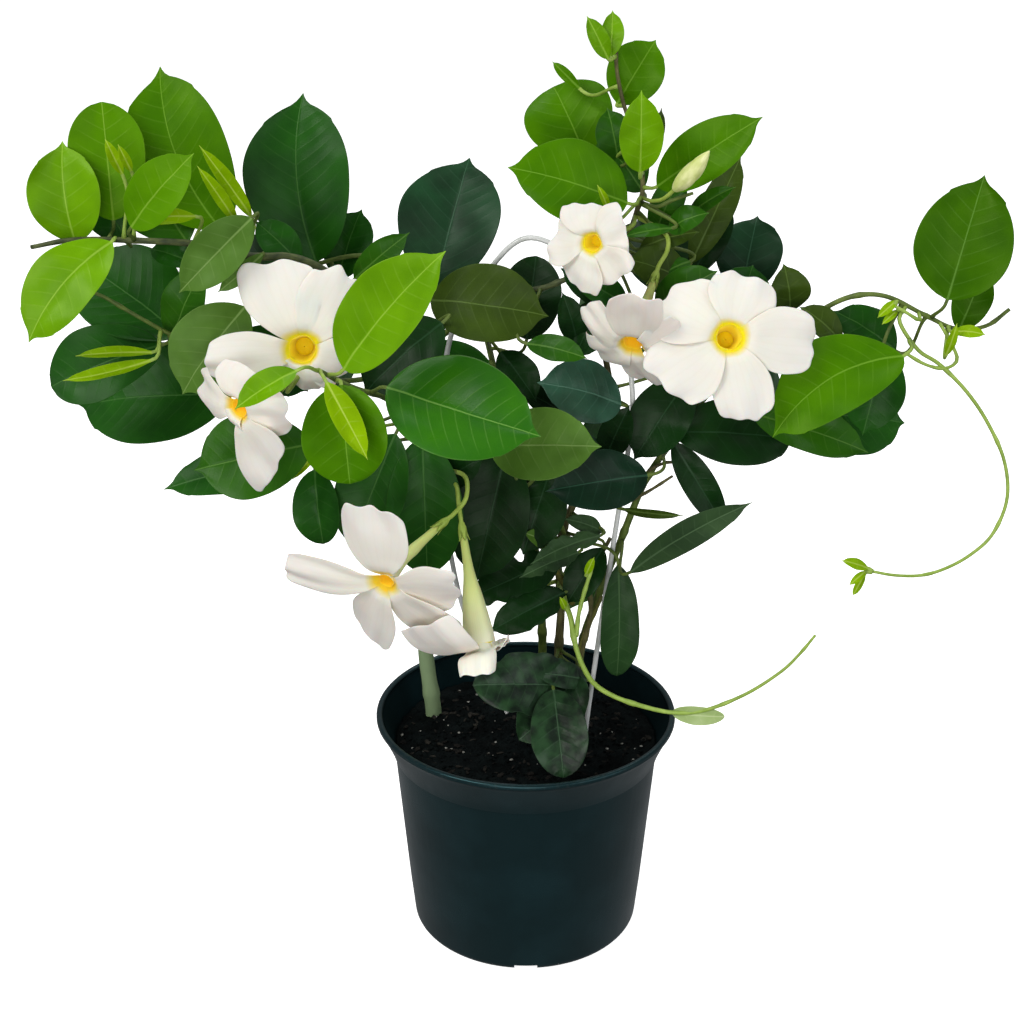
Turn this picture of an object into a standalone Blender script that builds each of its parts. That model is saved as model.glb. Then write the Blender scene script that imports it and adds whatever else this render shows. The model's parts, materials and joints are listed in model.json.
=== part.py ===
"""Potted mandevilla: a twining patio plant on a wire hoop, growing in a moulded nursery pot.

The origin is the centre of the pot's base, +Z up, and the plant faces -Y. Tables are in millimetres,
and every mesh is made in metres. Each leaf, stem, flower stalk and corolla is its own object. A petiole
or a stalk stops a hair's breadth off the stem that carries it.
"""

import math
from dataclasses import dataclass

import bmesh
import bpy
from mathutils import Vector

MM = 0.001
OBJECT_NAME = "potted_mandevilla"
FIT_GAP = 0.3

# Pot
POT_HEIGHT = 133.0
RIM_RADIUS = 85.0
COLLAR_DROP = 23.0
BODY_TOP_RADIUS = 75.0
BODY_BASE_RADIUS = 65.5
WALL = 1.8
LIP_WIDTH = 3.4
LIP_DROP = 3.0
COLLAR_STEP = 1.2
COLLAR_HOLLOW = 1.15
COLLAR_POINTS = 5
LIP_ROUND = 1.0
HEEL_ROUND = 4.5
PAD_RADIUS = 22.0
FOOT_INNER_RADIUS = 51.0
FOOT_LIFT = 3.0
DRAIN_RADIUS = 5.5
DRAIN_CIRCLE = 37.0
DRAIN_COUNT = 6
NOTCH_WIDTH = 13.0
NOTCH_HEIGHT = 3.8
NOTCH_COUNT = 3
POT_STEPS = 36

# Soil
SOIL_TOP = 115.0
SOIL_UNEVEN = 1.4
SOIL_SPREAD = 1.2
SOIL_STEPS = 28
SOIL_RINGS = (60.0, 44.0, 28.0, 12.0)
SOIL_LEVEL_RADIUS = 74.0
SOIL_FALL = 20.0
SOCKET_CLEARANCE = 0.45
STEM_FOOT = 90.0
CUTTER_SIDES = 12

# Plant
HOOP_RADIUS = 1.4
HOOP_STEP = 15.0
STEM_STEP = 13.0
STALK_STEP = 7.0
STALK_RADIUS = 1.1
SEAT_GAP = 1.1 * FIT_GAP
CALYX_RADII = (2.3, 2.9, 2.0)
CALYX_LENGTH = 7.0
BUD_RADIUS = 4.4
PETIOLE_RADIUS = 0.9
PETIOLE_LEAVE = 0.35
PETIOLE_ARRIVE = 0.40
PETIOLE_STATIONS = (0.78, 0.52, 0.26, 0.0)
BLADE_THICKNESS = 0.8
BLADE_STATIONS = 8
MIDRIB_DEPTH = 1.6
TUBE_TIP_RADIUS = 2.0
TUBE_MIDDLE_RADIUS = 2.8
PETAL_RISE = ((0.55, 2.5), (1.0, 0.5))
LOBE_SHAPE = (1.0, 0.93, 0.52, 0.93)
PETAL_THICKNESS = 0.8
LOBES = 5
STEPS_PER_LOBE = 4
LEAF_FACING = Vector((0.0, -0.80, 0.60))


@dataclass
class Stem:
    """A woody or green stem: its route, and its radius at the start and at the tip."""

    name: str
    route: list
    radius: tuple
    colour: tuple
    parent: str = ""
    sides: int = 2


@dataclass
class Leaf:
    """A leaf: its blade runs from base to tip, and roll turns it about that line from facing the front."""

    name: str
    stem: str
    base: tuple
    tip: tuple
    width: float
    colour: tuple
    roll: float = 0.0
    bow: float = 4.0
    fold: float = 12.0
    sweep: float = 0.0


@dataclass
class Flower:
    """A flower: the middle of its throat, the way it faces,
    and the reach of its five lobes from the right."""

    name: str
    stem: str
    throat: tuple
    face: tuple
    lobes: tuple
    first_lobe: float
    throat_radius: float
    tube: float
    stalk: list


LIME = (0.24, 0.42, 0.02)
BRIGHT = (0.10, 0.26, 0.01)
MID = (0.05, 0.15, 0.02)
DARK = (0.015, 0.06, 0.02)
BLUE_GREEN = (0.03, 0.09, 0.06)
GREY_GREEN = (0.08, 0.16, 0.06)
WOOD = (0.10, 0.11, 0.07)
GREEN_WOOD = (0.09, 0.15, 0.04)
PALE_STEM = (0.40, 0.52, 0.15)
POT_COLOUR = (0.010, 0.024, 0.026)
SOIL_COLOUR = (0.006, 0.008, 0.008)
WIRE_COLOUR = (0.68, 0.71, 0.70)
PETAL_COLOUR = (0.86, 0.82, 0.74)
CALYX_COLOUR = (0.34, 0.42, 0.14)
BUD_COLOUR = (0.62, 0.66, 0.28)

HOOP_ROUTE = [
    (34, -5, STEM_FOOT), (34, -5, 118), (39, -5, 166), (44, -5, 209), (50, -4, 257), (54, -3, 288),
    (56, -2, 319), (50, 2, 356), (35, 6, 384), (15, 9, 399), (-2, 12, 402), (-18, 15, 387),
    (-38, 18, 355), (-46, 21, 311), (-46, 23, 252), (-37, 25, 189), (-19, 27, 138), (-12, 27, 124),
    (-11, 27, 112), (-11, 27, STEM_FOOT),
]

BUD_ROUTE = [(63, 1, 424), (68, -11, 428), (75, -20, 437), (82, -25, 446), (88, -28, 455)]

STEMS = [
    Stem("left_main_stem",
         [(-54, 27, STEM_FOOT), (-54, 27, 116), (-58, 27, 156), (-58, 22, 190), (-57, 12, 232),
          (-55, 2, 267), (-56, -6, 298), (-62, -2, 320), (-75, 8, 349), (-94, 10, 376), (-117, 4, 393),
          (-143, -4, 397), (-166, -8, 404), (-199, -12, 407), (-228, -15, 408), (-250, -14, 404)],
         (5.0, 1.1), WOOD),
    Stem("front_shoot",
         [(-59, -24, 314), (-64, -40, 327), (-72, -54, 338), (-81, -62, 344), (-91, -67, 350),
          (-101, -70, 357)],
         (1.7, 1.1), GREEN_WOOD, "left_main_stem", 1),
    Stem("left_shoot",
         [(-84, -6, 332), (-105, -12, 333), (-128, -12, 338), (-150, -11, 348), (-179, -12, 356),
          (-198, -16, 368), (-216, -18, 380), (-228, -19, 384)],
         (1.5, 0.9), GREEN_WOOD, "left_main_stem", 1),
    Stem("crown_stem",
         [(18, 20, STEM_FOOT), (18, 20, 116), (19, 18, 161), (20, 15, 194), (18, 9, 228), (27, 7, 259),
          (41, 9, 289), (45, 9, 318), (41, 16, 344), (41, 20, 369), (50, 14, 396), (56, 10, 416),
          (59, 10, 430), (56, 16, 450), (49, 18, 469), (45, 18, 486), (44, 18, 501)],
         (2.7, 0.9), WOOD),
    Stem("right_vine",
         [(30, 27, STEM_FOOT), (30, 27, 116), (32, 25, 156), (38, 18, 186), (50, 12, 224), (64, 6, 268),
          (78, 2, 294), (94, 4, 317), (113, 8, 333), (133, 4, 350), (150, -4, 367), (166, -9, 377),
          (183, -12, 378), (204, -12, 368), (220, -12, 361), (236, -11, 362), (248, -8, 370)],
         (2.5, 1.0), GREEN_WOOD),
    Stem("top_stem",
         [(8, 33, STEM_FOOT), (8, 33, 116), (10, 32, 150), (8, 27, 198), (3, 22, 232), (-8, 22, 262),
          (-14, 32, 291), (-18, 42, 323), (-27, 52, 350), (-44, 60, 368), (-68, 64, 377), (-94, 64, 380),
          (-122, 62, 374)],
         (2.7, 1.2), GREEN_WOOD),
    Stem("trailing_vine",
         [(190, -17, 366), (200, -20, 352), (211, -22, 345), (225, -25, 332), (237, -28, 316),
          (247, -32, 296), (250, -36, 276), (243, -40, 258), (232, -42, 247), (219, -44, 240),
          (206, -46, 237), (192, -48, 238), (180, -50, 241)],
         (1.1, 0.8), PALE_STEM, "right_vine", 1),
    Stem("young_shoot",
         [(19, -2, 205), (20, -10, 208), (22, -20, 206), (25, -28, 201), (27, -35, 189), (33, -44, 178),
          (45, -52, 171), (60, -60, 168), (77, -66, 167), (93, -70, 170), (114, -74, 182),
          (131, -76, 196), (140, -77, 207), (147, -78, 218)],
         (1.3, 0.7), PALE_STEM, "crown_stem", 1),
]

LEAVES = [
    # Left cluster
    Leaf("leaf_left_upper", "left_main_stem", (-158, 14, 406), (-188, 36, 486), 55, BRIGHT, -6, 4, 12, 8),
    Leaf("leaf_left_small", "left_main_stem", (-196, -26, 417), (-161, -34, 455), 27, BRIGHT, 10),
    Leaf("leaf_left_edge", "left_main_stem", (-224, -8, 412), (-230, 0, 456), 32, LIME, 8, 4, 12, 2),
    Leaf("leaf_left_low_edge", "left_main_stem", (-206, -28, 408), (-252, -50, 355), 33, LIME, -8, 5),
    Leaf("leaf_left_curled", "left_main_stem", (-136, -28, 422), (-171, -46, 389),
         25, GREY_GREEN, -20, 7, 20),
    Leaf("leaf_left_dark", "left_shoot", (-183, 12, 350), (-241, 42, 382), 56, DARK, 10),
    Leaf("leaf_left_round", "left_shoot", (-192, 7, 343), (-250, -8, 329), 38, GREY_GREEN, 0, 5),
    Leaf("leaf_left_broad", "left_shoot", (-162, 24, 314), (-250, 42, 303), 54, DARK, 4, 5),
    Leaf("leaf_left_folded", "left_main_stem", (-111, -34, 303), (-165, -46, 291), 34, MID, -14, 5, 24),
    Leaf("leaf_left_long", "left_main_stem", (-113, -14, 291), (-192, -20, 275), 28, DARK, 8, 5),
    # Top of the left side
    Leaf("leaf_top_left", "top_stem", (-121, 58, 378), (-120, 86, 464), 60, DARK, 4, 4, 12, 5),
    Leaf("leaf_top_middle", "top_stem", (-47, 54, 369), (-32, 84, 429), 56, BLUE_GREEN, -8, 6, 12, 4),
    Leaf("leaf_top_olive", "left_main_stem", (-50, 2, 372), (11, -14, 368), 42, GREY_GREEN, 6, 5),
    # Front
    Leaf("leaf_front_lime", "front_shoot", (-88, -80, 361), (-38, -94, 422), 40, LIME, 6, 3, 16, 2),
    Leaf("leaf_front_narrow", "front_shoot", (-110, -90, 363), (-137, -107, 350), 14, LIME, 0, 3, 30),
    Leaf("leaf_front_cupped", "front_shoot", (-87, -77, 348), (-89, -94, 302), 38, MID, 0, 5, 18),
    Leaf("leaf_front_glossy", "front_shoot", (-69, -66, 347), (6, -92, 331), 53, BRIGHT, -4, 5, 10, -2),
    Leaf("leaf_front_hanging", "left_main_stem", (-54, -30, 305), (-72, -44, 234), 52, DARK, 0, 4),
    Leaf("leaf_front_grey", "left_main_stem", (-19, -40, 306), (37, -60, 314), 38, GREY_GREEN, 6, 5),
    # Top of the right side
    Leaf("leaf_tip_young", "crown_stem", (46, 14, 495), (46, 18, 518), 13, LIME, 0, 1, 24),
    Leaf("leaf_tip_right", "crown_stem", (49, 26, 466), (67, 30, 500), 30, MID, 10),
    Leaf("leaf_tip_lime", "crown_stem", (56, -8, 441), (55, -16, 482), 22, LIME, 0, 3, 16),
    Leaf("leaf_tip_round", "crown_stem", (27, 40, 443), (14, 60, 475), 41, MID, -6, 6),
    Leaf("leaf_right_left_arm", "crown_stem", (47, -8, 427), (-10, -18, 444), 36, MID, -6, 5, 12, 2),
    Leaf("leaf_right_arm", "crown_stem", (66, 4, 431), (115, -14, 469), 28, BRIGHT, 14, 5),
    Leaf("leaf_right_back", "right_vine", (107, 34, 368), (128, 60, 401), 36, DARK, -8, 5),
    # Right side
    Leaf("leaf_right_broad", "trailing_vine", (187, -44, 356), (122, -66, 320), 52, LIME, 2, 4, 8, 2),
    Leaf("leaf_right_under", "right_vine", (139, -3, 320), (204, 8, 298), 39, DARK, 0, 5),
    Leaf("leaf_right_low", "right_vine", (78, -8, 299), (142, 4, 290), 37, DARK, 0, 5),
    Leaf("leaf_right_slant", "right_vine", (59, -24, 230), (119, -40, 274), 32, GREY_GREEN, 48, 5),
    Leaf("leaf_right_drooping", "crown_stem", (48, -11, 227), (53, -22, 164), 24, MID, -10, 4),
    Leaf("leaf_crown_glossy", "right_vine", (62, -38, 290), (9, -60, 290), 31, BLUE_GREEN, -8, 5),
    Leaf("leaf_far_right", "right_vine", (211, -22, 379), (230, -12, 438), 46, BRIGHT, -8, 4),
    # Over the soil
    Leaf("leaf_soil_wavy", "crown_stem", (8, -6, 170), (-23, -40, 143), 28, DARK, 0, 5, 14, 3),
]

FLOWERS = [
    Flower("flower_left_high", "left_shoot", (-112, -46, 360), (0.02, -0.92, 0.38), (46, 49, 46, 22, 24),
           50, 8.5, 38, [(-111, -4, 342)]),
    Flower("flower_left_low", "left_shoot", (-140, -80, 341), (-0.45, -0.88, 0.10), (34, 34, 34, 38, 36),
           60, 7.5, 32, [(-122, -34, 334)]),
    Flower("flower_front_left", "left_main_stem", (-70, -102, 257), (-0.35, -0.92, -0.02),
           (42, 46, 48, 38, 36), 20, 5.5, 34,
           [(-43, -68, 275), (-31, -62, 287), (-32, -44, 292), (-44, -22, 288)]),
    Flower("flower_hanging", "left_main_stem", (-20, -88, 216), (0.24, -0.44, -0.87),
           (30, 34, 36, 36, 32), 10, 6.0, 50, [(-35, -54, 281), (-37, -40, 286), (-45, -20, 278)]),
    Flower("flower_right_small", "crown_stem", (31, -42, 413), (-0.52, -0.84, -0.14),
           (20, 21, 24, 27, 25), 20, 6.0, 26, [(53, -6, 413)]),
    Flower("flower_right_middle", "crown_stem", (51, -54, 365), (-0.26, -0.92, -0.20),
           (26, 33, 26, 34, 30), 15, 6.0, 32, [(68, -16, 384), (71, -10, 398), (70, 0, 408)]),
    Flower("flower_right_large", "right_vine", (98, -60, 371), (0.02, -0.92, 0.38), (43, 35, 40, 42, 42),
           5, 8.5, 42, [(99, -10, 346)]),
]


def on_route(points, t):
    """The point a fraction t of the way through a list of points, on a smooth curve through all of them."""
    place = min(max(t, 0.0), 1.0) * (len(points) - 1)
    i = min(int(place), len(points) - 2)
    u = place - i
    a, b = points[i], points[i + 1]
    before = points[i - 1] if i > 0 else a * 2 - b
    after = points[i + 2] if i + 2 < len(points) else b * 2 - a
    return 0.5 * (2 * a + (b - before) * u + (2 * before - 5 * a + 4 * b - after) * u * u
                  + (3 * a - before - 3 * b + after) * u ** 3)


def smooth_route(points, step):
    """Evenly spaced points, about step apart, on the smooth curve through the given ones."""
    points = [Vector(p) for p in points]
    fine = [on_route(points, k / 400) for k in range(401)]
    along = [0.0]
    for a, b in zip(fine, fine[1:]):
        along.append(along[-1] + (b - a).length)
    count = max(3, round(along[-1] / step))
    route, k = [], 0
    for n in range(count + 1):
        want = along[-1] * n / count
        while k < 399 and along[k + 1] < want:
            k += 1
        share = (want - along[k]) / max(along[k + 1] - along[k], 1e-9)
        route.append(fine[k].lerp(fine[k + 1], min(share, 1.0)))
    return route


def nearest_on(route, point):
    """(place, share) of the nearest point of a route's segments to a point."""
    best = (1e9, route[0], 0.0)
    for n, (a, b) in enumerate(zip(route, route[1:])):
        run = b - a
        u = min(max((point - a).dot(run) / run.length_squared, 0.0), 1.0)
        place = a + run * u
        found = ((place - point).length, place, (n + u) / (len(route) - 1))
        best = min(best, found, key=lambda one: one[0])
    return best[1], best[2]


def seat_on(stem_name, point):
    """Where a petiole or stalk that heads for point starts: a fit gap off the surface of its stem."""
    route, (start, end) = ROUTES[stem_name]
    place, share = nearest_on(route, point)
    radius = start + (end - start) * share
    return place + (point - place).normalized() * (radius + SEAT_GAP)


def make_material(name, colour, roughness, metallic=0.0):
    material = bpy.data.materials.new(name)
    material.use_nodes = True
    shader = material.node_tree.nodes["Principled BSDF"]
    shader.inputs["Base Color"].default_value = (*colour, 1.0)
    shader.inputs["Roughness"].default_value = roughness
    shader.inputs["Metallic"].default_value = metallic
    material.diffuse_color = (*colour, 1.0)
    return material


def add_object(name, data, colour, roughness, collection):
    obj = bpy.data.objects.new(name, data)
    data.materials.append(make_material(name, colour, roughness))
    collection.objects.link(obj)
    return obj


def mesh_from(bm, name):
    bmesh.ops.recalc_face_normals(bm, faces=bm.faces)
    mesh = bpy.data.meshes.new(name)
    bm.to_mesh(mesh)
    bm.free()
    mesh.shade_smooth()
    return mesh


def loft(rings, name):
    """A closed mesh through rings with the same number of points, capped at both ends."""
    bm = bmesh.new()
    rows = [[bm.verts.new(p * MM) for p in ring] for ring in rings]
    for low, high in zip(rows, rows[1:]):
        for k in range(len(low)):
            after = (k + 1) % len(low)
            bm.faces.new((low[k], low[after], high[after], high[k]))
    bm.faces.new(rows[0][::-1])
    bm.faces.new(rows[-1])
    return mesh_from(bm, name)


def turned(name, profile, steps, colour, roughness, collection):
    """A solid of revolution about Z. The profile runs from the axis,
    over the top and down its outer side."""
    mesh = bpy.data.meshes.new(name)
    edges = [(k, k + 1) for k in range(len(profile) - 1)]
    mesh.from_pydata([(x * MM, 0.0, z * MM) for x, z in profile], edges, [])
    obj = add_object(name, mesh, colour, roughness, collection)
    screw = obj.modifiers.new("turn", "SCREW")
    screw.steps = screw.render_steps = steps
    screw.use_merge_vertices = True
    screw.merge_threshold = 0.1 * MM
    return obj


def tube(name, route, radii, sides, colour, roughness, collection):
    """A round curve object through the route, with its own radius at each point."""
    curve = bpy.data.curves.new(name, "CURVE")
    curve.dimensions = "3D"
    curve.bevel_depth = MM
    curve.bevel_resolution = sides
    curve.use_fill_caps = True
    spline = curve.splines.new("POLY")
    spline.points.add(len(route) - 1)
    for point, place, radius in zip(spline.points, route, radii):
        point.co = (*(place * MM), 1.0)
        point.radius = radius
    spline.use_smooth = True
    return add_object(name, curve, colour, roughness, collection)


def cutter_cylinder(name, place, radius, height, collection):
    bm = bmesh.new()
    bmesh.ops.create_cone(bm, cap_ends=True, segments=CUTTER_SIDES, radius1=radius * MM,
                          radius2=radius * MM, depth=height * MM)
    return add_cutter(name, mesh_from(bm, name), place, collection)


def cutter_box(name, place, size, turn, collection):
    bm = bmesh.new()
    bmesh.ops.create_cube(bm, size=1.0)
    bmesh.ops.scale(bm, vec=Vector(size) * MM, verts=bm.verts)
    cutter = add_cutter(name, mesh_from(bm, name), place, collection)
    cutter.rotation_euler.z = turn
    return cutter


def add_cutter(name, mesh, place, collection):
    cutter = bpy.data.objects.new(name, mesh)
    cutter.location = Vector(place) * MM
    cutter.hide_render = True
    cutter.display_type = "WIRE"
    collection.objects.link(cutter)
    return cutter


def cut(obj, cutter):
    boolean = obj.modifiers.new("cut_" + cutter.name, "BOOLEAN")
    boolean.operation = "DIFFERENCE"
    boolean.object = cutter


def body_radius(z):
    """The outer radius of the pot's tapered body at a height."""
    return BODY_BASE_RADIUS + (BODY_TOP_RADIUS - BODY_BASE_RADIUS) * z / (POT_HEIGHT - COLLAR_DROP)


def collar_profile():
    """The outside of the flared collar, from under the lip down to the step:
    a cone that hollows a little towards the step."""
    top, bottom = POT_HEIGHT - LIP_DROP, POT_HEIGHT - COLLAR_DROP + COLLAR_STEP
    step = BODY_TOP_RADIUS + COLLAR_STEP
    flare = RIM_RADIUS - 0.6 * LIP_ROUND - step
    points = []
    for k in range(COLLAR_POINTS):
        down = k / (COLLAR_POINTS - 1)
        points.append((step + flare * (1 - down) ** COLLAR_HOLLOW, top + (bottom - top) * down))
    return points


def make_pot(collection, cutters):
    floor = FOOT_LIFT + WALL
    collar = collar_profile()
    step_z = POT_HEIGHT - COLLAR_DROP
    inner = [(x - WALL, z) for x, z in reversed(collar)]
    lip = [(RIM_RADIUS - LIP_WIDTH, POT_HEIGHT - LIP_ROUND), (RIM_RADIUS - 0.7 * LIP_WIDTH, POT_HEIGHT),
           (RIM_RADIUS - 0.3 * LIP_WIDTH, POT_HEIGHT), (RIM_RADIUS, POT_HEIGHT - LIP_ROUND)]
    heel = []
    for k in range(4):
        turn = math.radians(90.0 * k / 3)
        heel.append((body_radius(0) - HEEL_ROUND * (1 - math.cos(turn)), HEEL_ROUND * (1 - math.sin(turn))))
    profile = [(0, floor), (body_radius(floor) - WALL, floor), (body_radius(step_z) - WALL, step_z - 1.0),
               *inner, *lip, *collar,
               (body_radius(step_z), step_z), *heel,
               (FOOT_INNER_RADIUS + 1.0, 0), (FOOT_INNER_RADIUS, FOOT_LIFT),
               (PAD_RADIUS + 1.0, FOOT_LIFT), (PAD_RADIUS, 0), (0, 0)]
    pot = turned("pot", profile, POT_STEPS, POT_COLOUR, 0.35, collection)
    for k in range(DRAIN_COUNT):
        turn = math.tau * (k + 0.5) / DRAIN_COUNT
        place = (DRAIN_CIRCLE * math.cos(turn), DRAIN_CIRCLE * math.sin(turn), floor)
        cut(pot, cutter_cylinder(f"cut_drain_{k + 1}", place, DRAIN_RADIUS, 10 * WALL, cutters))
    for k in range(NOTCH_COUNT):
        turn = math.tau * (k / NOTCH_COUNT - 0.25)
        middle = (FOOT_INNER_RADIUS + body_radius(0)) / 2
        place = (middle * math.cos(turn), middle * math.sin(turn), 0)
        size = (1.6 * (body_radius(0) - FOOT_INNER_RADIUS), NOTCH_WIDTH, 2 * NOTCH_HEIGHT)
        cut(pot, cutter_box(f"cut_notch_{k + 1}", place, size, turn, cutters))


def soil_height(radius, turn):
    """The uneven top of the soil: a low mound with slow humps, level at the wall."""
    x, y = radius * math.cos(turn), radius * math.sin(turn)
    humps = math.sin(x / 13.0 + 1.0) * math.cos(y / 11.0 - 0.5)
    return SOIL_TOP + SOIL_UNEVEN * humps * min(1.0, (SOIL_LEVEL_RADIUS - radius) / SOIL_FALL)


def make_soil(collection, cutters):
    floor = FOOT_LIFT + WALL + FIT_GAP
    side = WALL + FIT_GAP
    shoulder = POT_HEIGHT - COLLAR_DROP - COLLAR_STEP
    levels = [(body_radius(floor) - side, floor), (body_radius(shoulder) - side, shoulder),
              (body_radius(shoulder) - side + SOIL_SPREAD, SOIL_TOP)]
    rings = [[Vector((r * math.cos(a), r * math.sin(a), z)) for a in ring_angles()] for r, z in levels]
    for radius in SOIL_RINGS:
        rings.append([Vector((radius * math.cos(a), radius * math.sin(a), soil_height(radius, a)))
                      for a in ring_angles()])
    soil = add_object("soil", loft(rings, "soil"), SOIL_COLOUR, 0.95, collection)
    sockets = [(stem.name, stem.route[0], stem.radius[0]) for stem in STEMS if not stem.parent]
    sockets += [("hoop_right", HOOP_ROUTE[0], HOOP_RADIUS), ("hoop_left", HOOP_ROUTE[-1], HOOP_RADIUS)]
    height = 1.5 * (SOIL_TOP - STEM_FOOT)
    for name, place, radius in sockets:
        middle = (place[0], place[1], STEM_FOOT - FIT_GAP + height / 2)
        cut(soil, cutter_cylinder("cut_socket_" + name, middle, radius + SOCKET_CLEARANCE, height, cutters))


def ring_angles():
    return [math.tau * k / SOIL_STEPS for k in range(SOIL_STEPS)]


def make_hoop(collection):
    route = smooth_route(HOOP_ROUTE, HOOP_STEP)
    tube("hoop_support", route, [HOOP_RADIUS] * len(route), 1, WIRE_COLOUR, 0.25, collection)


def make_stems(collection):
    for stem in STEMS:
        points = [Vector(p) for p in stem.route]
        if stem.parent:
            points.insert(0, seat_on(stem.parent, points[0]))
        route = smooth_route(points, STEM_STEP)
        start, end = stem.radius
        radii = [start + (end - start) * k / (len(route) - 1) for k in range(len(route))]
        ROUTES[stem.name] = (route, stem.radius)
        tube(stem.name, route, radii, stem.sides, stem.colour, 0.6, collection)


def blade_width(t):
    """The half-width of a blade, from 0 at its base to 1 at its widest, with a short drawn-out tip."""
    body = math.sin(math.pi * min(t / 0.97, 1.0) ** 0.88) ** 0.72 if t < 0.97 else 0.0
    point = 0.09 * (1.0 - t) / 0.08 if t > 0.92 else 0.0
    return max(body, point)


def leaf_frame(leaf):
    """The leaf's own directions: along the midrib, across the blade, and out of its upper face."""
    along = (Vector(leaf.tip) - Vector(leaf.base)).normalized()
    out = LEAF_FACING - along * LEAF_FACING.dot(along)
    across = out.normalized().cross(along).normalized()
    roll = math.radians(leaf.roll)
    out = out.normalized() * math.cos(roll) + across * math.sin(roll)
    return along, out.cross(along).normalized(), out


def blade_section(leaf, t):
    """Eight points round the blade at a share t of its length: four above and four below."""
    along, across, out = leaf_frame(leaf)
    base, tip = Vector(leaf.base), Vector(leaf.tip)
    middle = base.lerp(tip, t) + (out * leaf.bow + across * leaf.sweep) * 4 * t * (1 - t)
    half = max(leaf.width / 2 * blade_width(t), PETIOLE_RADIUS)
    rise = math.tan(math.radians(leaf.fold))
    thick = BLADE_THICKNESS / 2
    ring = []
    for s, side in ((-1, 0), (-0.5, 1), (0, 1), (0.5, 1), (1, 0), (0.5, -1), (0, -1), (-0.5, -1)):
        lift = abs(s) * half * rise * (1 - 0.45 * abs(s))
        deep = MIDRIB_DEPTH if s == 0 and side < 0 else 1.0
        ring.append(middle + across * (s * half) + out * (lift + side * thick * deep))
    return ring


def petiole_sections(leaf, start):
    """Rings of the round petiole. It leaves the stem squarely and bends over into the line of the blade."""
    along, across, out = leaf_frame(leaf)
    base = Vector(leaf.base)
    gap = base - start
    handles = (start, start + gap * PETIOLE_LEAVE, base - along * PETIOLE_ARRIVE * gap.length, base)
    heading, rings = along, []
    for t in PETIOLE_STATIONS:
        a, b, c = (handles[k].lerp(handles[k + 1], t) for k in range(3))
        low, high = a.lerp(b, t), b.lerp(c, t)
        bend = heading.rotation_difference(high - low)
        across, out, heading = bend @ across, bend @ out, high - low
        centre = low.lerp(high, t)
        turns = [math.pi - math.tau * k / 8 for k in range(8)]
        rings.append([centre + (across * math.cos(a) + out * math.sin(a)) * PETIOLE_RADIUS for a in turns])
    return rings[::-1]


def make_leaf(leaf, collection):
    rings = petiole_sections(leaf, seat_on(leaf.stem, Vector(leaf.base)))
    rings += [blade_section(leaf, t / BLADE_STATIONS) for t in range(BLADE_STATIONS)]
    rings.append(blade_section(leaf, 0.96))
    rings.append([p.lerp(Vector(leaf.tip), 0.6) for p in blade_section(leaf, 0.999)])
    add_object(leaf.name, loft(rings, leaf.name), leaf.colour, 0.35, collection)


def flower_frame(flower):
    """The flower's own directions: to the right, up, and the way it faces."""
    face = Vector(flower.face).normalized()
    up = Vector((0, 0, 1)) - face * face.z
    if up.length < 0.5:
        up = Vector((0, 1, 0)) - face * face.y
    up.normalize()
    return up.cross(face), up, face


def lobe_reach(flower, k):
    """(turn,
    reach) of the corolla's edge at step k: full at a lobe's middle and about half in the notch."""
    lobe, part = divmod(k, STEPS_PER_LOBE)
    turn = math.radians(flower.first_lobe + 72.0 * (lobe + part / STEPS_PER_LOBE))
    here, after = flower.lobes[lobe % LOBES], flower.lobes[(lobe + 1) % LOBES]
    length = here if part < 2 else (here + after) / 2 if part == 2 else after
    return turn, max(length * LOBE_SHAPE[part], 1.25 * flower.throat_radius)


def make_corolla(flower, collection):
    """The funnel-shaped corolla: a narrow tube, a wide throat and five lobes,
    as one open sheet made solid."""
    right, up, face = flower_frame(flower)
    centre = Vector(flower.throat)
    steps = LOBES * STEPS_PER_LOBE
    bm = bmesh.new()
    rows = []
    for share, radius in ((1.0, TUBE_TIP_RADIUS), (0.62, TUBE_MIDDLE_RADIUS), (0.0, flower.throat_radius)):
        middle = centre - face * flower.tube * share
        rows.append([middle + (right * math.cos(a) + up * math.sin(a)) * radius
                     for a in (lobe_reach(flower, k)[0] for k in range(steps))])
    for share, rise in PETAL_RISE:
        row = []
        for k in range(steps):
            turn, reach = lobe_reach(flower, k)
            radius = flower.throat_radius + (reach - flower.throat_radius) * share
            row.append(centre + (right * math.cos(turn) + up * math.sin(turn)) * radius + face * rise)
        rows.append(row)
    rows = [[bm.verts.new(p * MM) for p in row] for row in rows]
    for low, high in zip(rows, rows[1:]):
        for k in range(steps):
            after = (k + 1) % steps
            bm.faces.new((low[k], low[after], high[after], high[k]))
    bm.faces.new(rows[0][::-1])
    obj = add_object(flower.name + "_corolla", mesh_from(bm, flower.name), PETAL_COLOUR, 0.5, collection)
    solid = obj.modifiers.new("thickness", "SOLIDIFY")
    solid.thickness = PETAL_THICKNESS * MM
    solid.offset = 0.0
    solid.use_even_offset = False


def make_flower_stalk(flower, collection):
    """The flower's stalk with its calyx: a round stalk that swells into the cup behind the corolla's tube."""
    face = Vector(flower.face).normalized()
    tube_end = Vector(flower.throat) - face * (flower.tube + PETAL_THICKNESS / 2 + FIT_GAP)
    neck = tube_end - face * CALYX_LENGTH
    points = [neck, neck - face * 0.5 * CALYX_LENGTH, *[Vector(p) for p in flower.stalk]]
    points.append(seat_on(flower.stem, points[-1]))
    route = [tube_end, tube_end.lerp(neck, 0.4), *smooth_route(points, STALK_STEP)]
    radii = [*CALYX_RADII, *[STALK_RADIUS] * (len(route) - len(CALYX_RADII))]
    tube(flower.name + "_stalk", route, radii, 1, CALYX_COLOUR, 0.5, collection)


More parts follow.
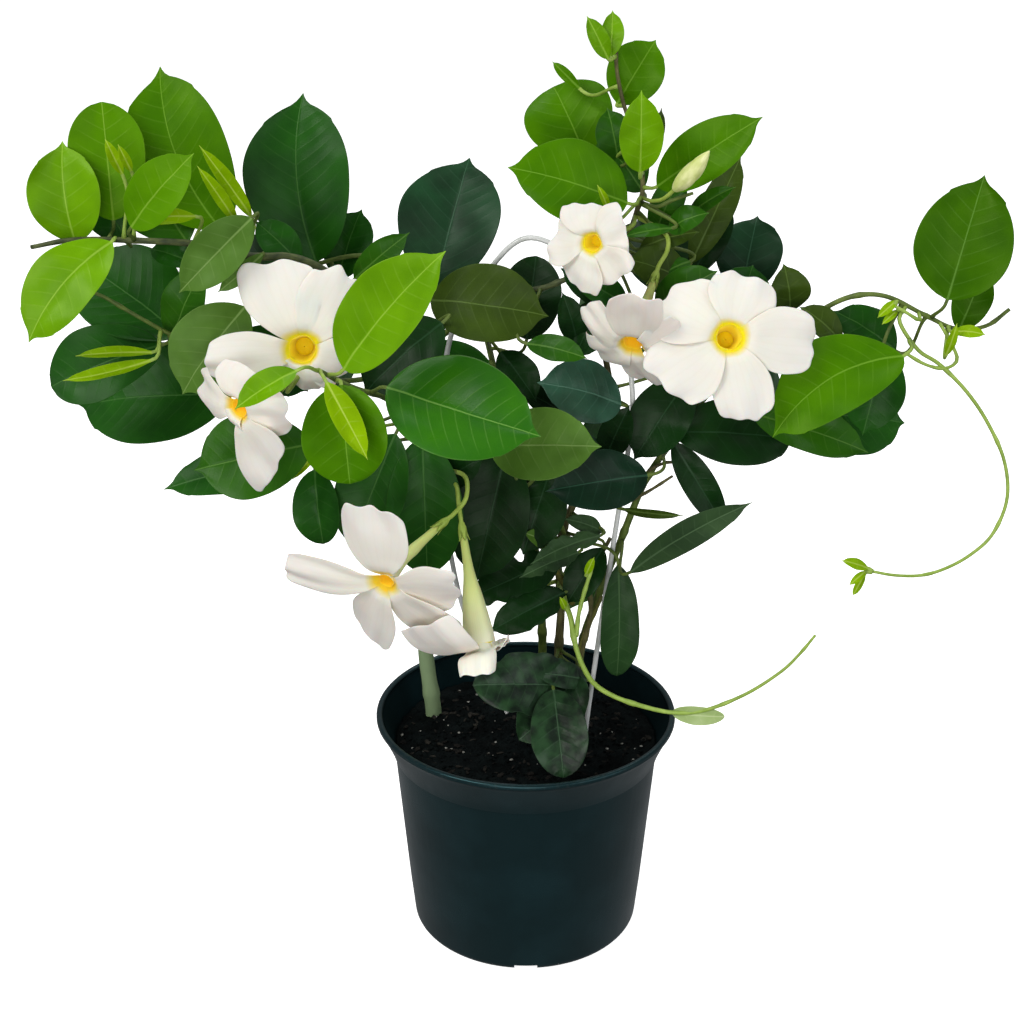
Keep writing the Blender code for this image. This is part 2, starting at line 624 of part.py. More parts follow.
def make_bud(collection):
    route = smooth_route(BUD_ROUTE, 0.6 * STALK_STEP)
    route.insert(0, seat_on("crown_stem", route[0]))
    radii = []
    for k in range(len(route)):
        swell = max(0.0, 2.0 * k / (len(route) - 1) - 1.0)
        radii.append(0.8 * STALK_RADIUS + (BUD_RADIUS - STALK_RADIUS) * math.sin(math.pi * swell) ** 0.8)
    tube("flower_bud", route, radii, 2, BUD_COLOUR, 0.5, collection)


ROUTES = {}


def main():
    for obj in list(bpy.data.objects):
        bpy.data.objects.remove(obj, do_unlink=True)
    collection = bpy.data.collections.new(OBJECT_NAME)
    cutters = bpy.data.collections.new("cutters")
    for made in (collection, cutters):
        bpy.context.scene.collection.children.link(made)
    make_pot(collection, cutters)
    make_soil(collection, cutters)
    make_hoop(collection)
    make_stems(collection)
    for leaf in LEAVES:
        make_leaf(leaf, collection)
    for flower in FLOWERS:
        make_corolla(flower, collection)
        make_flower_stalk(flower, collection)
    make_bud(collection)


main()
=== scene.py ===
"""Looks of the potted mandevilla: leaves, flowers, vines, soil, pot, wire hoop and a plain pale studio.

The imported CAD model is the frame. Tables are in millimetres, in the frame's own axes, and every mesh is
made in metres. Each class builds one kind of piece, and the table at its side says where each piece goes.
"""

import json  # noqa: E402
import logging  # noqa: E402
import math  # noqa: E402
import random  # noqa: E402
from collections.abc import Iterable, Sequence  # noqa: E402
from dataclasses import dataclass, field  # noqa: E402
from enum import Enum  # noqa: E402
from typing import Any, ClassVar  # noqa: E402

import bmesh  # noqa: E402
import bpy  # noqa: E402
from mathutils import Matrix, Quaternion, Vector, noise  # noqa: E402

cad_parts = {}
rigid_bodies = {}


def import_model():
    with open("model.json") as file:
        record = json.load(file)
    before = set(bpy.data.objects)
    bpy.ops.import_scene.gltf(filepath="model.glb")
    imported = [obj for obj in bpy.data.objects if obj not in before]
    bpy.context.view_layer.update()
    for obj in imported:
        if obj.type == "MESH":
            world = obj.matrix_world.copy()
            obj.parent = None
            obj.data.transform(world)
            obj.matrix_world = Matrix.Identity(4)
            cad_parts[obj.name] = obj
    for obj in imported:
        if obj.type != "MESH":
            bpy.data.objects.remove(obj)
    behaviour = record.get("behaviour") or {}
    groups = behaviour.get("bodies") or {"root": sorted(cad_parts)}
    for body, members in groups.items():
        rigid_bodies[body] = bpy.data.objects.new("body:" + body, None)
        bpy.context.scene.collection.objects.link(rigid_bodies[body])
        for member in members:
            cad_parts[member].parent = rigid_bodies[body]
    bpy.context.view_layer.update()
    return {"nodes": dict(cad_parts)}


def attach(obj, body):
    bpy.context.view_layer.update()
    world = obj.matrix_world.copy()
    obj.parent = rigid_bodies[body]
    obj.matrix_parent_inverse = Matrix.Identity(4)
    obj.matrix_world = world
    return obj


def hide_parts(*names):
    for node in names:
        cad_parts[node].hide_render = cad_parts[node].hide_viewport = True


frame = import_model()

LOG = logging.getLogger("mandevilla")
BODY = "root"
MM = 0.001
Point = tuple[float, float, float]
Rings = tuple[tuple[float, float], ...]


# ----------------------------------------
# Colour and nodes

# Settings that many nodes share
COLOUR = {"data_type": "RGBA"}
SMOOTH = {"interpolation_type": "SMOOTHSTEP"}
TIMES = {"operation": "MULTIPLY"}


def linear(hex_colour: str) -> tuple[float, float, float, float]:
    """Turn an sRGB hex colour into a linear one.

    Args:
        hex_colour: six hex digits after a hash sign.

    Returns:
        Linear red, green and blue, with alpha 1.
    """
    shares = [int(hex_colour[k:k + 2], 16) / 255 for k in (1, 3, 5)]
    red, green, blue = (s / 12.92 if s <= 0.04045 else ((s + 0.055) / 1.055) ** 2.4 for s in shares)
    return red, green, blue, 1.0


class Recipe:
    """A material in the making: its nodes and its Principled shader."""

    def __init__(self, name: str, part: str) -> None:
        """Start a material, with the object's own coordinates at hand.

        Args:
            name: the finish's name.
            part: empty, or the part of the finish that it is for, such as "_under".
        """
        self.part = part
        self.material = bpy.data.materials.new(name + part)
        self.material.use_nodes = True
        self.tree = self.material.node_tree
        self.shader = next(n for n in self.tree.nodes if n.type == "BSDF_PRINCIPLED")
        self.place = (self.add("TexCoord"), "Object")

    def add(self, kind: str, *inputs: Any, **named: Any) -> bpy.types.Node:
        """Add one shader node, with its settings and its links.

        Args:
            kind: the node's type, without its ShaderNode prefix.
            inputs: what its sockets take, in their order: see join.
            named: what a socket takes, under its name, which has a capital, and the node's settings, which
                have none. "stops" are a colour ramp's (place, hex colour) pairs.

        Returns:
            The new node.
        """
        node = self.tree.nodes.new("ShaderNode" + kind)
        sockets: dict[Any, Any] = dict(enumerate(inputs))
        for name, value in named.items():
            if name[0].isupper():
                sockets[name] = value
            elif name == "stops":
                ramp = node.color_ramp.elements
                while len(ramp) < len(value):
                    ramp.new(0.5)
                for stop, (place, colour) in zip(ramp, value, strict=True):
                    stop.position, stop.color = place, linear(colour)
            else:
                setattr(node, name, value)
        self.join(node, sockets)
        return node

    def join(self, node: bpy.types.Node, inputs: dict[Any, Any]) -> None:
        """Set or link some of a node's sockets.

        Args:
            node: the node.
            inputs: for a socket's name or place, a value, a hex colour, a node, or a (node, output) pair.
        """
        shown = [s for s in node.inputs if s.enabled]
        for key, value in inputs.items():
            socket = shown[key] if isinstance(key, int) else next(s for s in shown if s.name == key)
            source, wanted = value if isinstance(value, tuple) and len(value) == 2 else (value, None)
            if isinstance(source, bpy.types.Node):
                outputs = [s for s in source.outputs if s.enabled]
                found = outputs[0] if wanted is None else next(s for s in outputs if s.name == wanted)
                self.tree.links.new(found, socket)
            else:
                socket.default_value = linear(value) if isinstance(value, str) else value


class Finish:
    """A finish. Each of its materials is made once and kept by its name."""

    name: str
    made: ClassVar[dict[str, bpy.types.Material]] = {}

    def dress(self, recipe: Recipe) -> dict[str, Any]:
        """Add a material's nodes.

        Args:
            recipe: the material in the making.

        Returns:
            What the shader's sockets take, by their names.
        """
        raise NotImplementedError

    def material(self, part: str = "") -> bpy.types.Material:
        """Find one of the finish's materials, and make it the first time.

        Args:
            part: empty, or the part of the finish that has its own material.

        Returns:
            The material.
        """
        name = self.name + part
        if name not in self.made:
            recipe = Recipe(self.name, part)
            recipe.join(recipe.shader, self.dress(recipe))
            self.made[name] = recipe.material
        return self.made[name]


# ----------------------------------------
# Finishes


@dataclass(frozen=True)
class LeafTissue(Finish):
    """Living leaf, waxy above and matt below.

    The wax gives a broad soft sheen that picks out the quilting between the side veins. The midrib and
    side veins read as fine paler lines, and the tissue between them is a little uneven in colour.
    """

    name: str
    slot: str
    upper: str
    deep: str
    vein: str
    under: str
    roughness: float = 0.38
    coat: float = 0.0
    shine: float = 0.15
    blotch: float = 22.0
    quilt: float = 0.28
    wax: str = "#FFFFFF"

    def dress(self, recipe: Recipe) -> dict[str, Any]:
        """Add the veins, the flesh and the quilting of the upper face or, for "_under", of the lower.

        Args:
            recipe: the material in the making.

        Returns:
            What the shader's sockets take, by their names.
        """
        above = not recipe.part
        add = recipe.add
        side = add("SeparateXYZ", add("UVMap", uv_map="veins"))
        blade = add("SeparateXYZ", add("UVMap", uv_map="blade"))
        # Side veins stand VEIN_SPACING apart. The UV's X counts them, and its fraction lies between two.
        part_way = add("Math", (side, "X"), operation="FRACT")
        between = add("Math", add("Math", part_way, 0.5, operation="SUBTRACT"), operation="ABSOLUTE")
        line = add("MapRange", between, 0.42, 0.495, 0.0, 0.15 if above else 0.30, **SMOOTH)
        # Side veins die away before the margin.
        fade = add("MapRange", (blade, "Y"), 0.97, 0.45, 0.0, 1.0, **SMOOTH)
        # The midrib is 1.1 mm wide above and 1.6 mm below, and narrows to the tip. Y is in centimetres.
        thin = add("MapRange", (blade, "X"), 0.0, 1.0, 1.0, 2.6)
        from_rib = add("Math", (side, "Y"), thin, **TIMES)
        rib = add("MapRange", from_rib, 0.085 if above else 0.13, 0.03, 0.0, 0.62, **SMOOTH)
        veins = add("Math", add("Math", line, fade, **TIMES), rib, operation="MAXIMUM")
        broad = add("TexNoise", Vector=recipe.place, Scale=1 / (self.blotch * MM), Detail=3.0)
        # Islands of tissue between the finest veins, 1.3 mm across, drawn as coarse as they need to show
        islands = add("TexVoronoi", feature="DISTANCE_TO_EDGE", Vector=recipe.place, Scale=1 / (1.3 * MM))
        mottle = add("MapRange", broad, 0.36, 0.64, 0.0, 1.0)
        flesh = add("Mix", mottle, self.deep, self.upper if above else self.under, **COLOUR)
        edge = add("MapRange", (blade, "Y"), 0.965, 0.998, 0.0, 0.22, **SMOOTH)
        marks = add("Math", veins, edge, operation="MAXIMUM")
        matt = self.roughness + (0 if above else 0.2)
        # The tissue swells between the side veins, and sinks along them on the upper face.
        swell = add("Math", add("Math", 0.5, between, operation="SUBTRACT"), 0.55, operation="POWER")
        groove = add("Math", rib, -0.7, add("Math", swell, fade, **TIMES), operation="MULTIPLY_ADD")
        relief = add("Bump", Strength=self.quilt if above else 0.5, Height=groove,
                     Distance=0.9 * MM * (1 if above else -1))
        return {
            "Base Color": add("Mix", marks, flesh, self.vein, **COLOUR),
            "Roughness": add("MapRange", broad, 0.3, 0.7, matt + 0.07, matt - 0.05),
            "Normal": add("Bump", Strength=0.16, Distance=0.25 * MM, Height=islands, Normal=relief),
            "Coat Weight": self.coat if above else 0.0,
            "Coat Roughness": 0.28,
            "IOR": 1.45,
            "Specular IOR Level": self.shine if above else 0.22,
            "Specular Tint": self.wax,
        }


class Tone(Enum):
    """The greens of the plant, from the newest growth to the oldest."""

    SPRING = LeafTissue("leaf_spring_green", "leaf_lime", "#86B004", "#79A203", "#B4CC58", "#A3BE38", 0.40,
                        wax="#F4F6A0")
    LIME = LeafTissue("leaf_lime_green", "leaf_lime", "#6CA203", "#5F9402", "#9AC444", "#8CB23A", 0.34,
                      0.04, 0.2, wax="#EEF6B0")
    FRESH = LeafTissue("leaf_fresh_green", "leaf_lime", "#568C02", "#4A8001", "#88B23C", "#7CA43C", 0.38,
                       wax="#E8F4A0")
    BRIGHT = LeafTissue("leaf_bright_green", "leaf_bright", "#477C01", "#3A6E01", "#74A432", "#709638",
                        0.38, wax="#E8F4A0")
    FULL = LeafTissue("leaf_full_green", "leaf_bright", "#3A6A02", "#2E5C02", "#64923A", "#5E8634", 0.38,
                      wax="#E8F4A0")
    MID = LeafTissue("leaf_mid_green", "leaf_mid", "#2D610A", "#225205", "#5C8836", "#5A8238", 0.36)
    GLOSSY = LeafTissue("leaf_glossy_green", "leaf_bright", "#2F6E06", "#226005", "#7AAC4C", "#608840",
                        0.30, 0.08, 0.24)
    DARK = LeafTissue("leaf_dark_green", "leaf_dark", "#1F560F", "#15460A", "#467534", "#48703A", 0.38)
    SHADED = LeafTissue("leaf_shaded_green", "leaf_dark", "#264520", "#1A3616", "#48663E", "#40603A", 0.40,
                        0.0, 0.14)
    DEEP = LeafTissue("leaf_deep_green", "leaf_dark", "#11340F", "#0B270A", "#28482C", "#30502A", 0.40, 0.0,
                      0.14)
    BLUE = LeafTissue("leaf_blue_green", "leaf_blue_green", "#1D4628", "#13341C", "#3C664A", "#3C5E44",
                      0.42, 0.0, 0.20, quilt=0.25)
    TEAL = LeafTissue("leaf_teal_green", "leaf_blue_green", "#102E1C", "#0B2214", "#2E5640", "#3C5E44",
                      0.38, 0.0, 0.16, quilt=0.25)
    POLISHED = LeafTissue("leaf_polished_green", "leaf_blue_green", "#33604A", "#1E4430", "#54806A",
                          "#3C5E44", 0.34, 0.0, 0.45, quilt=0.4)
    OLIVE = LeafTissue("leaf_olive_green", "leaf_grey_green", "#3A5013", "#2D410C", "#5E7836", "#566A38",
                       0.42, 0.0, 0.12)
    GREY = LeafTissue("leaf_grey_green", "leaf_grey_green", "#557C2E", "#466A20", "#809E58", "#6E8E54",
                      0.46, 0.0, 0.14)
    DUSKY = LeafTissue("leaf_dusky_green", "leaf_grey_green", "#35502D", "#283F24", "#526E4A", "#4E684A",
                       0.46, 0.0, 0.12)
    CRINKLED = LeafTissue("leaf_crinkled_green", "leaf_grey_green", "#29482A", "#102114", "#48684A",
                          "#44604A", 0.36, 0.0, 0.30, 8.0, 0.6)
    PALE = LeafTissue("leaf_pale_green", "leaf_lime", "#A8BC84", "#96AE6C", "#C0CE9C", "#B0C08C", 0.46)


@dataclass(frozen=True)
class PetalTissue(Finish):
    """Mandevilla petal: a thin white sheet with a velvet surface and a yellow throat.

    Light scatters inside it, so its shadows are soft and warm, and faint veins fan out to the edge.
    """

    name: str
    throat: str
    glow: str

    def dress(self, recipe: Recipe) -> dict[str, Any]:
        """Add the throat's yellow and its painted glow, and the petals' veins and crepe. "_tube" is the
        tube's outside.

        Args:
            recipe: the material in the making.

        Returns:
            What the shader's sockets take, by their names.
        """
        add = recipe.add
        reach = add("SeparateXYZ", add("UVMap", uv_map="corolla"))
        # The UV's X is the way from the tube's foot, 0, through the throat's rim, 0.5, to the edge, 1.
        if recipe.part:
            stops = [(0.0, "#B4C868"), (0.25, "#D6E090"), (0.42, "#EAECBC"), (0.5, "#F1EDD4"),
                     (0.6, "#F4EEDE"), (1.0, "#F7F0E2")]
        else:
            stops = [(0.0, self.glow), (0.34, self.glow), (0.44, self.throat), (0.522, self.throat),
                     (0.540, "#EFDC90"), (0.562, "#EFE7DA"), (1.0, "#EFE7E0")]
        soft = add("TexNoise", Vector=recipe.place, Scale=1 / (9 * MM), Detail=2.0)
        wander = add("Math", soft, 0.03, -0.015, operation="MULTIPLY_ADD")
        colour = add("ValToRGB", add("Math", (reach, "X"), wander, operation="ADD"), stops=stops)
        # Eight faint veins fan out over each petal, about 4 mm apart where it is widest.
        fan = add("Math", (reach, "Y"), 40.0, **TIMES)
        wave = add("Math", fan, 0.5, operation="PINGPONG")
        vein = add("MapRange", wave, 0.0, 0.20, 0.07, 0.0)
        relief = add("Bump", Strength=0.10, Distance=0.5 * MM, Height=wave)
        sockets = {
            "Base Color": add("Mix", vein, colour, "#D9CDB4", **COLOUR),
            "Roughness": add("MapRange", soft, 0.3, 0.7, 0.50, 0.62),
            "Normal": add("Bump", Strength=0.25, Distance=1.2 * MM, Height=soft, Normal=relief),
            "Subsurface Weight": 0.22,
            "Subsurface Scale": 2.5 * MM,
            "Specular IOR Level": 0.22,
            "Sheen Weight": 0.12,
            "Sheen Roughness": 0.5,
            "IOR": 1.40,
        }
        if not recipe.part:
            # Painted glow: the throat's yellow emits a little light of its own. It stands in for daylight
            # that passes through the thin tube, so its yellow inside is never dark.
            sockets["Emission Color"] = colour
            sockets["Emission Strength"] = add("MapRange", (reach, "X"), 0.535, 0.47, 0.0, 0.12, **SMOOTH)
        return sockets


@dataclass(frozen=True)
class StemTissue(Finish):
    """Living bark, or the green skin of a stalk: fine ridges along it, and flecks lighter and darker.

    Woody stems are dull and rough, and young ones are smoother with a little sheen.
    """

    name: str
    slot: str
    light: str
    dark: str
    roughness: float
    ridge: float
    relief: float
    foot: str = ""

    def dress(self, recipe: Recipe) -> dict[str, Any]:
        """Add the ridges, a real width apart, and the flecks.

        Args:
            recipe: the material in the making.

        Returns:
            What the shader's sockets take, by their names.
        """
        add = recipe.add
        # The tube's UV is in centimetres: X round it and Y along it. Ridges are long and narrow.
        stretched = add("Mapping", add("UVMap", uv_map="bark"), Scale=(10 / self.ridge, 1.6, 1.0))
        ridges = add("TexNoise", Vector=stretched, Scale=1.0, Detail=4.0)
        flecks = add("TexNoise", Vector=recipe.place, Scale=1 / (7 * MM), Detail=3.0)
        share = add("MapRange", add("Math", ridges, flecks, **TIMES), 0.12, 0.42, 0.0, 1.0)
        colour = add("Mix", share, self.dark, self.light, **COLOUR)
        if self.foot:
            # An old stem is pale up to 150 mm above the floor, where the leaves have shaded it.
            height = add("SeparateXYZ", recipe.place)
            low = add("MapRange", (height, "Z"), 0.24, 0.15, 0.0, 0.85, **SMOOTH)
            colour = add("Mix", low, colour, self.foot, **COLOUR)
        return {
            "Base Color": colour,
            "Roughness": add("MapRange", flecks, 0.3, 0.7, self.roughness - 0.08, self.roughness + 0.08),
            "Normal": add("Bump", Strength=0.7, Distance=self.relief * MM, Height=ridges),
            "Specular IOR Level": 0.35,
        }


@dataclass(frozen=True)
class MouldedPolypropylene(Finish):
    """Polypropylene, injection-moulded: a black-green nursery pot.

    The mould's fine texture spreads the highlight, handling has rubbed it smoother in patches, and dried
    compost dust has settled on the lip.
    """

    name: str = "polypropylene_moulded"
    body: str = "#081618"
    worn: str = "#0F2023"
    dust: str = "#2C2F2C"

    def dress(self, recipe: Recipe) -> dict[str, Any]:
        """Add the mould's texture, the wear and the dust. "_inside" is the damp, unpolished inner face.

        Args:
            recipe: the material in the making.

        Returns:
            What the shader's sockets take, by their names.
        """
        inside = bool(recipe.part)
        add, place = recipe.add, recipe.place
        # Moulding texture grains are about 0.25 mm: drawn at 0.7 mm so that they show.
        grain = add("TexNoise", Vector=place, Scale=1 / (0.7 * MM), Detail=2.0)
        rubbed = add("TexNoise", Vector=place, Scale=1 / (38 * MM), Detail=4.0)
        # Flow lines run up the wall from the gate in the base, 6 mm apart and very long.
        tall = add("Mapping", place, Scale=(1.0, 1.0, 0.05))
        flow = add("TexNoise", Vector=tall, Scale=1 / (6 * MM), Detail=2.0)
        plastic = add("Mix", add("MapRange", rubbed, 0.42, 0.68, 0.0, 1.0), self.body, self.worn, **COLOUR)
        height = add("SeparateXYZ", place)
        near_lip = add("MapRange", (height, "Z"), 0.122, 0.1335, 0.0, 0.0 if inside else 0.4, **SMOOTH)
        speckle = add("TexNoise", Vector=place, Scale=1 / (2.2 * MM), Detail=5.0)
        dusty = add("Math", near_lip, add("MapRange", speckle, 0.5, 0.68, 0.0, 1.0), **TIMES)
        ripple = add("Bump", Strength=0.25, Distance=0.4 * MM, Height=flow)
        matt, polished = (0.7, 0.6) if inside else (0.36, 0.25)
        return {
            "Base Color": add("Mix", dusty, plastic, self.dust, **COLOUR),
            "Roughness": add("MapRange", rubbed, 0.3, 0.7, matt, polished),
            "Normal": add("Bump", Strength=0.22, Distance=0.12 * MM, Height=grain, Normal=ripple),
            "IOR": 1.49,
            "Specular IOR Level": 0.08 if inside else 0.5,
            "Specular Tint": "#9FE2EA",
        }


@dataclass(frozen=True)
class GrittySolid(Finish):
    """Something loose and rough: damp peat, a bark chip or a perlite grain. It is matt, with no sheen."""

    name: str
    light: str
    dark: str
    grain: float
    roughness: float = 0.9

    def dress(self, recipe: Recipe) -> dict[str, Any]:
        """Add the grains, a real width across.

        Args:
            recipe: the material in the making.

        Returns:
            What the shader's sockets take, by their names.
        """
        add, place = recipe.add, recipe.place
        fine = add("TexNoise", Vector=place, Scale=1 / (self.grain * MM), Detail=6.0, Roughness=0.65)
        broad = add("TexNoise", Vector=place, Scale=1 / (9 * self.grain * MM), Detail=3.0)
        share = add("MapRange", add("Math", fine, broad, **TIMES), 0.17, 0.38, 0.0, 1.0)
        return {
            "Base Color": add("Mix", share, self.dark, self.light, **COLOUR),
            "Roughness": add("MapRange", fine, 0.3, 0.7, self.roughness - 0.12, self.roughness + 0.05),
            "Normal": add("Bump", Strength=0.9, Distance=0.5 * self.grain * MM, Height=fine),
            "Specular IOR Level": 0.06,
        }


@dataclass(frozen=True)
class CoatedWire(Finish):
    """Galvanised steel wire, dip-coated in white plastic: smooth, with faint runs and a little grime."""

    name: str = "coated_wire_white"

    def dress(self, recipe: Recipe) -> dict[str, Any]:
        """Add the grime and the runs of the coat.

        Args:
            recipe: the material in the making.

        Returns:
            What the shader's sockets take, by their names.
        """
        add = recipe.add
        grime = add("TexNoise", Vector=recipe.place, Scale=1 / (11 * MM), Detail=4.0)
        share = add("MapRange", grime, 0.45, 0.7, 0.0, 1.0)
        return {
            "Base Color": add("Mix", share, "#D8DBD9", "#B2B8B2", **COLOUR),
            "Roughness": add("MapRange", grime, 0.3, 0.7, 0.25, 0.38),
            "Normal": add("Bump", Strength=0.2, Distance=0.15 * MM, Height=grime),
            "IOR": 1.5,
            "Coat Weight": 0.3,
            "Coat Roughness": 0.15,
        }


@dataclass(frozen=True)
class MattPaint(Finish):
    """Matt pale paint on the studio floor, lit from below like a light table.

    It stays white however far away it is, takes only a soft shadow and shows no reflection.
    """

    name: str = "matt_paint_pale"
    glow: float = 0.85

    def dress(self, recipe: Recipe) -> dict[str, Any]:
        """Add a faint drift in the white.

        Args:
            recipe: the material in the making.

        Returns:
            What the shader's sockets take, by their names.
        """
        drift = recipe.add("TexNoise", Vector=recipe.place, Scale=0.8, Detail=2.0)
        return {
            "Base Color": recipe.add("Mix", drift, "#F6F6F4", "#F8F8F7", **COLOUR),
            "Roughness": 0.9,
            "Specular IOR Level": 0.1,
            "Emission Color": "#FFFFFF",
            "Emission Strength": self.glow,
        }


GOLDEN = PetalTissue("petal_white_gold_throat", "#F4DE08", "#E0C404")
AMBER = PetalTissue("petal_white_amber_throat", "#F8CA20", "#EFB814")
WOOD = StemTissue("bark_grey_green", "woody_stem", "#66703F", "#2C3820", 0.66, 1.4, 0.3, "#87A076")
BROWN_WOOD = StemTissue("bark_brown", "woody_stem", "#6E6C40", "#403E22", 0.72, 1.2, 0.4)
YOUNG_WOOD = StemTissue("bark_olive", "green_stem", "#7D7C36", "#4C5020", 0.62, 1.4, 0.2)
GREEN_WOOD = StemTissue("bark_green", "green_stem", "#6C8034", "#42561E", 0.55, 1.6, 0.2)
PALE_STEM = StemTissue("young_stem", "pale_stem", "#A3BF58", "#7E9C3A", 0.45, 2.5, 0.12)
FLOWER_STALK = StemTissue("flower_stalk", "calyx", "#A9BE58", "#87A23A", 0.48, 2.5, 0.12)
BUD_TISSUE = StemTissue("bud_cream", "bud", "#EEF0B4", "#C6D278", 0.5, 2.0, 0.15)
PEAT = GrittySolid("peat_compost", "#101717", "#030606", 1.6)
BARK_CHIP = GrittySolid("composted_bark", "#34322D", "#141413", 1.0)
PERLITE = GrittySolid("perlite", "#B9B9B2", "#87877F", 0.8)


# ----------------------------------------
# Curves and meshes


def on_route(points: Sequence[Vector], share: float) -> Vector:
    """Find a point on the smooth curve through a list of points.

    Args:
        points: the points that the curve goes through.
        share: how far through the list, from 0 to 1.

    Returns:
        The point.
    """
    place = min(max(share, 0.0), 1.0) * (len(points) - 1)
    i = min(int(place), len(points) - 2)
    u = place - i
    a, b = points[i], points[i + 1]
    before = points[i - 1] if i > 0 else a * 2 - b
    after = points[i + 2] if i + 2 < len(points) else b * 2 - a
    return 0.5 * (2 * a + (b - before) * u + (2 * before - 5 * a + 4 * b - after) * u * u
                  + (3 * a - before - 3 * b + after) * u ** 3)


def smooth_route(points: Iterable[Sequence[float]], step: float) -> list[Vector]:
    """Space points evenly along the smooth curve through the given ones.

    Args:
        points: the points that the curve goes through, in millimetres.
        step: the spacing wanted.

    Returns:
        The points, about step apart.
    """
    given = [Vector(p) for p in points]
    parts = 400
    fine = [on_route(given, k / parts) for k in range(parts + 1)]
    along = [0.0]
    for a, b in zip(fine, fine[1:]):
        along.append(along[-1] + (b - a).length)
    count = max(3, round(along[-1] / step))
    route, k = [], 0
    for n in range(count + 1):
        want = along[-1] * n / count
        while k < parts - 1 and along[k + 1] < want:
            k += 1
        share = (want - along[k]) / max(along[k + 1] - along[k], 1e-9)
        route.append(fine[k].lerp(fine[k + 1], min(share, 1.0)))
    return route


def turn_frames(route: Sequence[Vector]) -> list[tuple[Vector, Vector]]:
    """Find crosswise directions along a route, carried along it without twisting.

    Args:
        route: the route's points.

    Returns:
        A (right, up) pair of directions at each point.
    """
    headings = [(route[min(k + 1, len(route) - 1)] - route[max(k - 1, 0)]).normalized()
                for k in range(len(route))]
    right = headings[0].orthogonal().normalized()
    frames = []
    for k, heading in enumerate(headings):
        if k:
            right = headings[k - 1].rotation_difference(heading) @ right
        right = (right - heading * right.dot(heading)).normalized()
        frames.append((right, heading.cross(right)))
    return frames


def around(count: int, start: float = 0.0) -> list[float]:
    """Return evenly spaced turns round a circle, in radians, the first of them start steps on."""
    return [math.tau * (k + start) / count for k in range(count)]


def spoke(turn: float, right: Vector, up: Vector) -> Vector:
    """Return the direction that stands at a turn from right towards up."""
    return right * math.cos(turn) + up * math.sin(turn)


def level_ring(radius: float, z: float, count: int, start: float = 0.0) -> list[Vector]:
    """Return evenly spaced points round a level circle about the pot's axis."""
    return [Vector((radius * math.cos(t), radius * math.sin(t), z)) for t in around(count, start)]


def there_and_back(k: int, count: int) -> float:
    """Return how far a point round a closed section is from its seam: 0 at the seam and 1 half way."""
    return 1 - abs(2 * k / count - 1)


def place_object(name: str, data: bpy.types.ID, place: Sequence[float] = (0, 0, 0)) -> bpy.types.Object:
    """Put a mesh, a light or a camera in the scene.

    Args:
        name: the object's name.
        data: its mesh, light or camera.
        place: where it stands, in metres.

    Returns:
        The object.
    """
    obj = bpy.data.objects.new(name, data)
    obj.location = place
    bpy.context.scene.collection.objects.link(obj)
    return obj


def add_modifier(obj: bpy.types.Object, name: str, kind: str, **settings: Any) -> None:
    """Add a modifier.

    Args:
        obj: the object that it changes.
        name: its name.
        kind: its type.
        settings: its settings, by their names.
    """
    modifier = obj.modifiers.new(name, kind)
    for setting, value in settings.items():
        setattr(modifier, setting, value)


